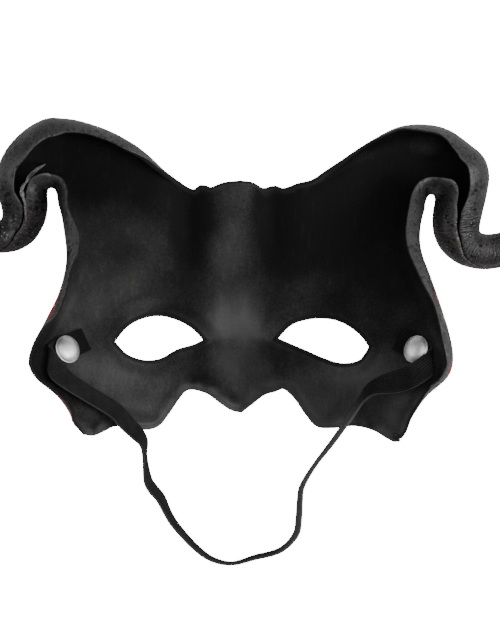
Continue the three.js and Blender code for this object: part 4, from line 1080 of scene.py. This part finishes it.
def grain_group():
    """Grain of leather: fine pebbles between creases, with scattered pores"""
    if "leather_grain" in bpy.data.node_groups:
        return bpy.data.node_groups["leather_grain"]
    tree, given, result = new_group(
        "leather_grain", {"Pebble scale": 900.0, "Pore scale": 330.0, "Pore size": 0.2}, ["Height", "Pores"])
    where = place_on(tree)
    bent = node(tree, "ShaderNodeVectorMath", {0: where, 1: (0.0, 0.0, 0.0)}, operation="ADD")
    wobble = node(tree, "ShaderNodeTexNoise", {"Vector": where, "Scale": 260.0, "Detail": 2.0})
    shift = {0: wobble.outputs["Color"], "Scale": 0.0012}
    small = node(tree, "ShaderNodeVectorMath", shift, operation="SCALE")
    tree.links.new(small.outputs[0], bent.inputs[1])
    pebbles = node(tree, "ShaderNodeTexVoronoi", {
        "Vector": bent.outputs[0], "Scale": given.outputs["Pebble scale"]}, feature="SMOOTH_F1")
    pores = node(tree, "ShaderNodeTexVoronoi", {
        "Vector": bent.outputs[0], "Scale": given.outputs["Pore scale"], "Randomness": 1.0})
    size = times(tree, given.outputs["Pore size"],
                 spread(tree, clouds(tree, where, 90.0), 0.3, 0.7, 0.35, 1.3))
    pore = maths(tree, "SUBTRACT", 1.0, maths(tree, "DIVIDE", pores.outputs["Distance"], size), clamp=True)
    creased = times(tree, clouds(tree, where, 420.0, 5.0, 0.65), 0.6)
    height = plus(tree, times(tree, pebbles.outputs["Distance"], -0.5), creased)
    height = maths(tree, "SUBTRACT", height, times(tree, pore, 0.9))
    tree.links.new(height, result.inputs["Height"])
    tree.links.new(pore, result.inputs["Pores"])
    return tree


def wear_group():
    """Wear and dye: soft patches, long brush strokes of dye, and rubbing with a painted rim highlight near
    the cut edges
    """
    if "dye_and_wear" in bpy.data.node_groups:
        return bpy.data.node_groups["dye_and_wear"]
    tree, given, result = new_group(
        "dye_and_wear", {"Patch scale": 45.0, "Edge width": 0.0022}, ["Patches", "Strokes", "Rubbed edge and rim highlight"])
    where = place_on(tree)
    patches = clouds(tree, where, given.outputs["Patch scale"], 5.0, 0.6)
    stretched = node(tree, "ShaderNodeMapping", {"Vector": where, "Rotation": (0.0, 0.0, 0.5),
                                                 "Scale": (1.0, 0.3, 0.5)})
    strokes = clouds(tree, stretched.outputs[0], 420.0, 4.0, 0.6)
    from_edge = carried(tree, "from_edge")
    frayed = times(tree, given.outputs["Edge width"],
                   spread(tree, clouds(tree, where, 260.0, 4.0), 0.3, 0.75, 0.1, 2.0))
    rubbed_and_painted_light = maths(tree, "SUBTRACT", 1.0, maths(tree, "DIVIDE", from_edge, frayed), clamp=True)
    tree.links.new(patches, result.inputs["Patches"])
    tree.links.new(strokes, result.inputs["Strokes"])
    tree.links.new(rubbed_and_painted_light, result.inputs["Rubbed edge and rim highlight"])
    return tree


def placed(tree, group, **values):
    """A group of nodes placed in a material, with its own values"""
    made = tree.nodes.new("ShaderNodeGroup")
    made.node_tree = group
    for name, value in values.items():
        made.inputs[name.replace("_", " ").capitalize()].default_value = value
    return made.outputs


def new_material(name, **finish):
    """A material with a Principled shader whose plain values are set, and its node tree"""
    material = bpy.data.materials.new(name)
    material.use_nodes = True
    tree = material.node_tree
    shader = tree.nodes["Principled BSDF"]
    for label, value in finish.items():
        shader.inputs[label.replace("_", " ")].default_value = value
    return material, tree, shader


def finish_with(tree, shader, colour, roughness, height, distance, strength):
    """Gives a material its colour, its roughness and a fine relief, of the given distance in metres"""
    bump = node(tree, "ShaderNodeBump", {"Height": height, "Distance": distance, "Strength": strength})
    looks = {"Base Color": colour, "Roughness": roughness, "Normal": bump.outputs[0]}
    for name, value in looks.items():
        tree.links.new(value, shader.inputs[name])


def inside_leather(sizes):
    """Black dyed flesh side, brushed on and rubbed to a dull shine, with painted highlights and painted
    shade
    """
    material, tree, shader = new_material("black_inside", Specular_IOR_Level=0.28)
    grain = placed(tree, grain_group(), Pebble_scale=1100.0, Pore_scale=260.0, Pore_size=0.12)
    wear = placed(tree, wear_group(), Patch_scale=38.0, Edge_width=0.0018)
    # the wear values bring painted highlights and painted shade into this grey
    wear_and_painted_light = carried(tree, "wear_and_painted_light")
    where = place_on(tree)
    scuffs = maths(tree, "MULTIPLY_ADD", clouds(tree, where, 1000.0, 4.0, 0.75), 0.9, -0.9)
    mottled = maths(tree, "MULTIPLY_ADD", wear["Patches"], 0.9, plus(tree, wear_and_painted_light, scuffs))
    grey = spread(tree, mottled, -0.1, 1.6)
    colour = blend(tree, grey, scaled(sizes.inside_colour, 0.15), sizes.worn_and_highlight_colour)
    streaked = spread(tree, mottled, 0.0, 1.1, 0.05, 0.42)
    streaks = times(tree, spread(tree, wear["Strokes"], 0.5, 0.75), streaked)
    colour = blend(tree, streaks, colour, DUST_AND_HIGHLIGHT_GREY)
    # paler near the cut edges: rubbing with a painted rim highlight
    colour = blend(tree, times(tree, wear["Rubbed edge and rim highlight"], 0.25), colour, (0.05, 0.049, 0.048))
    from_edge = carried(tree, "from_edge")
    upwards = node(tree, "ShaderNodeSeparateXYZ", {"Vector": where}).outputs["Y"]

    # a thin dark line round the eye holes, whose heights on the face set it apart from the other edges
    line = spread(tree, from_edge, 0.0001, 0.0006, 0.8, 0.0)
    line = times(tree, line, spread(tree, upwards, -0.04, -0.036))
    line = times(tree, line, spread(tree, upwards, -0.005, 0.0, 1.0, 0.0))
    colour = blend(tree, line, colour, NEAR_BLACK)
    rough = plus(tree, spread(tree, mottled, -0.2, 0.8, 0.78, 0.46), times(tree, wear["Strokes"], 0.1))
    relief = plus(tree, grain["Height"], times(tree, wear["Strokes"], 0.9))
    finish_with(tree, shader, colour, rough, relief, 0.00022, 0.55)
    return material


def cut_leather(sizes):
    """The cut edge: layers of fibre, dyed black and here and there bare"""
    material, tree, shader = new_material("cut_edge", Specular_IOR_Level=0.2)
    where = place_on(tree)
    fibres = clouds(tree, where, 1400.0, 6.0, 0.7)
    bare = spread(tree, clouds(tree, where, 170.0, 4.0, 0.6), 0.56, 0.74)
    wear_and_painted_light = carried(tree, "wear_and_painted_light")
    bare = times(tree, bare, spread(tree, wear_and_painted_light, 0.0, 1.0, 0.1, 0.9))
    colour = blend(tree, bare, sizes.inside_colour, (0.15, 0.145, 0.14))
    colour = blend(tree, times(tree, fibres, 0.12), colour, (0.04, 0.038, 0.036))
    rough = spread(tree, fibres, 0.3, 0.7, 0.6, 0.85)
    finish_with(tree, shader, colour, rough, fibres, 0.0004, 0.6)
    return material


def torn_leather(sizes):
    """Bare pale fibres where a ply of the leather is torn"""
    material, tree, shader = new_material("torn_fibres", Specular_IOR_Level=0.2)
    where = place_on(tree)
    fibres = clouds(tree, where, 1100.0, 5.0, 0.75)
    colour = blend(tree, spread(tree, fibres, 0.38, 0.62), sizes.worn_and_highlight_colour, (0.3, 0.295, 0.285))
    rough = spread(tree, fibres, 0.3, 0.7, 0.6, 0.85)
    finish_with(tree, shader, colour, rough, fibres, 0.0004, 0.7)
    return material


def outside_leather(sizes):
    """Grain side: a red face that fades to black towards the rims and the horns, with pores and wrinkles"""
    material, tree, shader = new_material("red_and_black_outside")
    grain = placed(tree, grain_group(), Pebble_scale=800.0, Pore_scale=380.0, Pore_size=0.55)
    wear = placed(tree, wear_group(), Patch_scale=60.0, Edge_width=0.0025)
    horn = carried(tree, "horn")
    along = carried(tree, "along_horn")
    black = carried(tree, "black_dye")
    uneven_fade = times(tree, maths(tree, "SUBTRACT", wear["Patches"], 0.5), 0.7)
    fade = plus(tree, black, uneven_fade)
    fade = spread(tree, fade, 0.35, 0.65)
    red = blend(tree, spread(tree, wear["Patches"], 0.35, 0.7), scaled(sizes.face_colour, 0.45),
                sizes.face_colour)

    # wrinkles across the horn where it bends
    where = place_on(tree)
    bent = plus(tree, along, times(tree, clouds(tree, where, 130.0, 3.0), 0.006))
    fine = maths(tree, "SINE", times(tree, bent, 5200.0))
    broad = maths(tree, "SINE", times(tree, bent, 3100.0))
    ripple = plus(tree, times(tree, fine, 0.55), times(tree, broad, 0.45))
    ripple = times(tree, ripple, spread(tree, clouds(tree, where, 110.0, 2.0), 0.36, 0.6))
    bend = times(tree, horn, spread(tree, along, 0.018, 0.04))
    rippled = times(tree, bend, ripple)

    # black of the horns, mottled, rubbed grey and given painted highlights and painted shade in places, and
    # lighter on the ridges of the wrinkles
    mottle = times(tree, clouds(tree, where, 1500.0, 3.0, 0.75), 1.8)
    rubbed_and_painted_light = carried(tree, "wear_and_painted_light")
    tone = maths(tree, "MULTIPLY_ADD", wear["Patches"], 0.45, mottle)
    tone = maths(tree, "MULTIPLY_ADD", rippled, 0.16, plus(tree, tone, rubbed_and_painted_light))
    coal = blend(tree, spread(tree, tone, 0.8, 1.75), scaled(sizes.horn_colour, 0.3),
                 scaled(sizes.horn_colour, 5))
    colour = blend(tree, fade, red, coal)
    colour = blend(tree, spread(tree, grain["Pores"], 0.1, 0.5), colour, (0.002, 0.002, 0.002))

    # bare specks on the ridges, and rims rubbed and lightened with a painted rim highlight
    sparks = placed(tree, grain_group(), Pebble_scale=900.0, Pore_scale=560.0, Pore_size=0.34)["Pores"]
    sparks = times(tree, spread(tree, sparks, 0.3, 0.7), bend)
    colour = blend(tree, sparks, colour, (0.3, 0.295, 0.29))
    colour = blend(tree, times(tree, wear["Rubbed edge and rim highlight"], 0.25), colour, DUST_AND_HIGHLIGHT_GREY)
    rough = spread(tree, wear["Patches"], 0.3, 0.7, 0.5, 0.36)
    relief = plus(tree, grain["Height"], times(tree, rippled, 0.6))
    finish_with(tree, shader, colour, rough, relief, 0.0003, 0.7)
    return material


def elastic_yarn(sizes):
    """Ribbed elastic: covered rubber threads lengthwise, bound by fine yarn across"""
    material, tree, shader = new_material("ribbed_elastic", Specular_IOR_Level=0.2)
    along = carried(tree, "along_strap")
    across = carried(tree, "across_strap")
    where = place_on(tree)
    rib = times(tree, across, sizes.ribs * 2 * math.pi)
    odd = maths(tree, "SIGN", maths(tree, "SINE", times(tree, rib, 0.5)))
    turn = plus(tree, times(tree, along, 2 * math.pi / STITCH), times(tree, odd, math.pi / 2))
    stitch = maths(tree, "ABSOLUTE", maths(tree, "SINE", times(tree, turn, 0.5)))
    fuzz = clouds(tree, where, 2600.0, 4.0, 0.7)
    wear_and_painted_light = clouds(tree, where, 160.0, 3.0)
    # painted shade: the valleys between the ribs are coloured darker
    painted_valley_shade = maths(tree, "ABSOLUTE", maths(tree, "COSINE", times(tree, rib, 0.5)))
    painted_valley_shade = spread(tree, painted_valley_shade, 0.1, 0.8)
    lit = times(tree, times(tree, stitch, painted_valley_shade), spread(tree, wear_and_painted_light, 0.3, 0.7, 0.45, 1.0))
    colour = blend(tree, lit, scaled(sizes.colour, 0.2), scaled(sizes.colour, 1.8))

    # light selvedges, a tail that is greyed with wear, and ends painted near black as painted shade under
    # the rivets
    side = maths(tree, "ABSOLUTE", maths(tree, "SUBTRACT", across, 0.5))
    colour = blend(tree, spread(tree, side, 0.45, 0.485, 0.0, 0.5), colour, (0.08, 0.08, 0.082))
    faded = carried(tree, "faded")
    greyed = times(tree, faded, spread(tree, stitch, 0.0, 1.0, 0.4, 0.85))
    colour = blend(tree, greyed, colour, (0.16, 0.16, 0.163))
    from_end = carried(tree, "from_end")
    colour = blend(tree, spread(tree, from_end, 0.011, 0.015, 0.75, 0.0), colour, NEAR_BLACK)
    rough = spread(tree, fuzz, 0.3, 0.7, 0.72, 0.92)
    relief = plus(tree, stitch, times(tree, fuzz, 0.5))
    finish_with(tree, shader, colour, rough, relief, 0.00018, 0.8)
    return material


def nickel_plate(sizes):
    """Nickel gone satin with wear, with hair scratches, a few dints and patches of dull film"""
    material, tree, shader = new_material("nickel_plate", Metallic=1.0)
    where = place_on(tree)
    turned = node(tree, "ShaderNodeMapping", {"Vector": where, "Rotation": (0.4, 0.2, 0.9),
                                              "Scale": (1.0, 0.06, 1.0)})
    scratches = clouds(tree, turned.outputs[0], 3000.0, 3.0, 0.6)
    film = clouds(tree, where, 420.0, 4.0, 0.6)
    colour = blend(tree, spread(tree, film, 0.45, 0.75), sizes.colour, scaled(sizes.colour, 0.9))
    rough = spread(tree, film, 0.35, 0.7, 0.4, 0.5)
    relief = plus(tree, scratches, times(tree, clouds(tree, where, 500.0, 2.0), 1.5))
    finish_with(tree, shader, colour, rough, relief, 0.00004, 0.5)
    return material


def add_mesh(name, vertices, faces, values=None):
    """A smooth mesh object from points in millimetres of the tables, with named values at its vertices"""
    mesh = bpy.data.meshes.new(name)
    places = (np.asarray(vertices) + CENTRE_SHIFT) * MM
    mesh.from_pydata(places.tolist(), [], [list(face) for face in faces])
    mesh.validate()
    for label, column in (values or {}).items():
        attribute = mesh.attributes.new(label, "FLOAT", "POINT")
        attribute.data.foreach_set("value", np.asarray(column, np.float32))
    mesh.shade_smooth()
    made = bpy.data.objects.new(name, mesh)
    bpy.context.scene.collection.objects.link(made)
    return made


def add_camera(sizes, middle):
    """The camera, straight above the mask"""
    lens = bpy.data.cameras.new("camera")
    lens.sensor_fit = "HORIZONTAL"
    lens.sensor_width = 36.0
    lens.lens = lens.sensor_width * sizes.distance / sizes.view_width
    lens.clip_end = 20.0
    camera = bpy.data.objects.new("camera", lens)
    camera.location = middle + Vector((0, 0, sizes.distance))
    bpy.context.scene.collection.objects.link(camera)
    bpy.context.scene.camera = camera


def add_floor(sizes):
    """White paper, which the camera sees as bright and which throws little light back"""
    count, size = FLOOR_SQUARES, FLOOR_SIZE
    places = [(size * (i / count - 0.5), size * (j / count - 0.5), 0.0)
              for j in range(count + 1) for i in range(count + 1)]
    squares = [(j * (count + 1) + i, j * (count + 1) + i + 1, (j + 1) * (count + 1) + i + 1,
                (j + 1) * (count + 1) + i) for j in range(count) for i in range(count)]
    mesh = bpy.data.meshes.new("floor")
    mesh.from_pydata(places, [], squares)
    floor = bpy.data.objects.new("floor", mesh)
    material, tree, shader = new_material("white_paper", Roughness=0.9, Emission_Color=(1, 1, 1, 1))
    seen = node(tree, "ShaderNodeLightPath").outputs["Is Camera Ray"]
    tree.links.new(times(tree, seen, sizes.floor_glow), shader.inputs["Emission Strength"])
    tone = blend(tree, clouds(tree, place_on(tree), 12.0), sizes.floor_colour, (0.93, 0.93, 0.93))
    tree.links.new(tone, shader.inputs["Base Color"])
    mesh.materials.append(material)
    bpy.context.scene.collection.objects.link(floor)


def light_studio(middle):
    """A white sky and four soft boxes turned to the mask"""
    scene = bpy.context.scene
    scene.world = scene.world or bpy.data.worlds.new("studio")
    scene.world.use_nodes = True
    tree = scene.world.node_tree
    seen = node(tree, "ShaderNodeLightPath").outputs["Is Camera Ray"]
    background = tree.nodes["Background"]
    tree.links.new(spread(tree, seen, 0.0, 1.0, SKY_FILL, SKY_SEEN), background.inputs["Strength"])
    background.inputs["Color"].default_value = (1.0, 1.0, 1.0, 1.0)
    for name, place, watts, width in LIGHTS:
        light = bpy.data.lights.new(name, "AREA")
        light.energy = watts
        light.size = width
        lamp = bpy.data.objects.new(name, light)
        lamp.location = place
        lamp.rotation_euler = (middle - Vector(place)).to_track_quat("-Z", "Y").to_euler()
        scene.collection.objects.link(lamp)


class BuildStage(bpy.types.Operator):
    """Puts up the camera, the floor and the lights"""
    bl_idname = "half_mask.stage"
    bl_label = "Stage"

    def execute(self, context):
        sizes = context.scene.half_mask_stage
        middle = Vector(VIEW_CENTRE) * MM
        add_camera(sizes, middle)
        add_floor(sizes)
        light_studio(middle)
        return {"FINISHED"}


def elastic_section(sizes):
    """The ribbed outline of the elastic, as places from -1 to 1 across it and heights over its middle"""
    across = np.linspace(-1, 1, 6 * sizes.ribs + 1)
    turn = across * sizes.ribs * math.pi / 2
    rib = np.abs(np.cos(turn) if sizes.ribs % 2 else np.sin(turn))
    rounding = np.clip(1 - np.abs(across) ** 16, 0, 1) ** 0.5
    stand = sizes.thickness / 2 * (0.72 + 0.28 * rib) * (0.45 + 0.55 * rounding)
    return np.concatenate([np.column_stack([across, stand]), np.column_stack([across, -stand])[::-1]])


class BuildStrap(bpy.types.Operator):
    """Lays the ribbed elastic along its route"""
    bl_idname = "half_mask.strap"
    bl_label = "Elastic strap"

    def execute(self, context):
        sizes = in_table_units(context.scene.half_mask_strap)
        t = np.linspace(0, 1, sizes.steps + 1)
        rows = curve_through(STRAP_ROUTE, t)
        middle = rows[:, :3]
        before, after = (curve_through(STRAP_ROUTE, t + step)[:, :3] for step in (-1e-4, 1e-4))
        along = directions_of(after - before)
        side = directions_of(rows[:, 3:])
        face = directions_of(np.cross(along, side))
        section = elastic_section(sizes)
        points = (middle[:, None] + side[:, None] * (section[None, :, :1] * sizes.width / 2)
                  + face[:, None] * section[None, :, 1:])
        number, quads = tube_quads(len(t), len(section), flipped=True)
        quads += [number[0].tolist(), number[-1][::-1].tolist()]
        lengths = walked(middle)
        along_strap = {
            "along_strap": lengths * MM,
            "from_end": np.minimum(lengths, lengths[-1] - lengths) * MM,
            "faded": smooth(*FADED_ACROSS, middle[:, 0]) * (1 - smooth(*FADED_UP, middle[:, 1])),
        }
        values = {name: np.repeat(column, len(section)) for name, column in along_strap.items()}
        values["across_strap"] = np.tile((section[:, 0] + 1) / 2, len(t))
        strap = add_mesh("elastic_band", points.reshape(-1, 3), quads, values)
        strap.data.materials.append(elastic_yarn(sizes))
        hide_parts("elastic_strap")
        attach(strap, "root")
        return {"FINISHED"}


class BuildMask(bpy.types.Operator):
    """Builds the moulded leather with its eye holes, rims and rolled horns"""
    bl_idname = "half_mask.leather"
    bl_label = "Leather"

    def execute(self, context):
        sizes = in_table_units(context.scene.half_mask_leather)
        vertices, quads, sides, values, kinds, normals = thick_leather(sizes)
        shaped = mould(vertices, values, kinds, normals)
        values["black_dye"] = black_dye(vertices, values)
        # the wear values carry painted highlights and painted shade into the colours
        values["wear_and_painted_light"] = dye_wear_and_painted_light(vertices, kinds, values["from_edge"])
        lip, lip_faces = torn_lip()
        lip_faces = [[number + len(shaped) for number in face] for face in lip_faces]
        values = {name: np.concatenate([column, np.zeros(len(lip))]) for name, column in values.items()}
        mask = add_mesh("leather_mask", np.vstack([shaped, lip]), [*quads, *lip_faces], values)
        for finish in (inside_leather, cut_leather, outside_leather, torn_leather):
            mask.data.materials.append(finish(sizes))
        slots = np.array([*sides, *[TORN_SIDE] * len(lip_faces)], np.int32)
        mask.data.polygons.foreach_set("material_index", slots)
        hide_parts("mask")
        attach(mask, "root")
        return {"FINISHED"}


def cap_rivet(place, sides):
    """Points and faces of one rivet, which stands square to the leather at a place of the plan"""
    section = curve_through(RIVET_SECTION, np.linspace(0, 1, 4 * len(RIVET_SECTION)))
    body = section[1:-1]
    axis = normal_at(place)
    first = directions_of(np.cross(axis, (0.0, 1.0, 0.0))[None])[0]
    second = np.cross(axis, first)
    centre = np.array([*place, height_at(place)[0]])
    turns = np.arange(sides) * 2 * math.pi / sides
    radial = np.cos(turns)[:, None] * first + np.sin(turns)[:, None] * second
    rings = centre + body[:, None, :1] * radial[None] + body[:, None, 1:] * axis
    ends = [centre + axis * section[0, 1], centre + axis * section[-1, 1]]
    number, quads = tube_quads(len(body), sides)
    low, high = number.size, number.size + 1
    caps = [(low, int(b), int(a)) for a, b in zip(number[0], np.roll(number[0], -1))]
    caps += [(high, int(a), int(b)) for a, b in zip(number[-1], np.roll(number[-1], -1))]
    return np.vstack([rings.reshape(-1, 3), ends]), quads + caps


class BuildRivets(bpy.types.Operator):
    """Sets the two cap rivets through the leather"""
    bl_idname = "half_mask.rivets"
    bl_label = "Rivets"

    def execute(self, context):
        sizes = in_table_units(context.scene.half_mask_rivets)
        finish = nickel_plate(sizes)
        for name, place in RIVETS.items():
            rivet = add_mesh("cap_" + name, *cap_rivet(place, sizes.sides))
            rivet.data.materials.append(finish)
            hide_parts(name)
            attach(rivet, "root")
        return {"FINISHED"}


class HalfMaskPanel(bpy.types.Panel):
    """The sizes and colours of the half mask, and a button for each of its pieces"""
    bl_idname = "VIEW3D_PT_half_mask"
    bl_label = "Half mask"
    bl_space_type = "VIEW_3D"
    bl_region_type = "UI"
    bl_category = "Half mask"

    def draw(self, context):
        """Lists each piece's settings over its button"""
        for label, _, operator in STEPS:
            box = self.layout.box()
            group = getattr(context.scene, label)
            for name in group.bl_rna.properties.keys():
                if name not in ("rna_type", "name"):
                    box.prop(group, name)
            box.operator(operator.bl_idname)


# What the scene calls each group of settings, its class, and the operator that uses it
STEPS = [
    ("half_mask_stage", StageSettings, BuildStage),
    ("half_mask_strap", StrapSettings, BuildStrap),
    ("half_mask_leather", MaskSettings, BuildMask),
    ("half_mask_rivets", RivetSettings, BuildRivets),
]
CLASSES = [*(step[1] for step in STEPS), *(step[2] for step in STEPS), HalfMaskPanel]


def register():
    """Makes the settings, the operators and the panel known to Blender"""
    for cls in CLASSES:
        bpy.utils.register_class(cls)
    for label, settings, _ in STEPS:
        setattr(bpy.types.Scene, label, PointerProperty(type=settings))


def unregister():
    """Takes them away again"""
    for label, _, _ in STEPS:
        delattr(bpy.types.Scene, label)
    for cls in reversed(CLASSES):
        bpy.utils.unregister_class(cls)


def main():
    """Builds the stage and every piece"""
    register()
    bpy.ops.half_mask.stage()
    bpy.ops.half_mask.strap()
    bpy.ops.half_mask.leather()
    bpy.ops.half_mask.rivets()


if __name__ == "__main__":
    main()
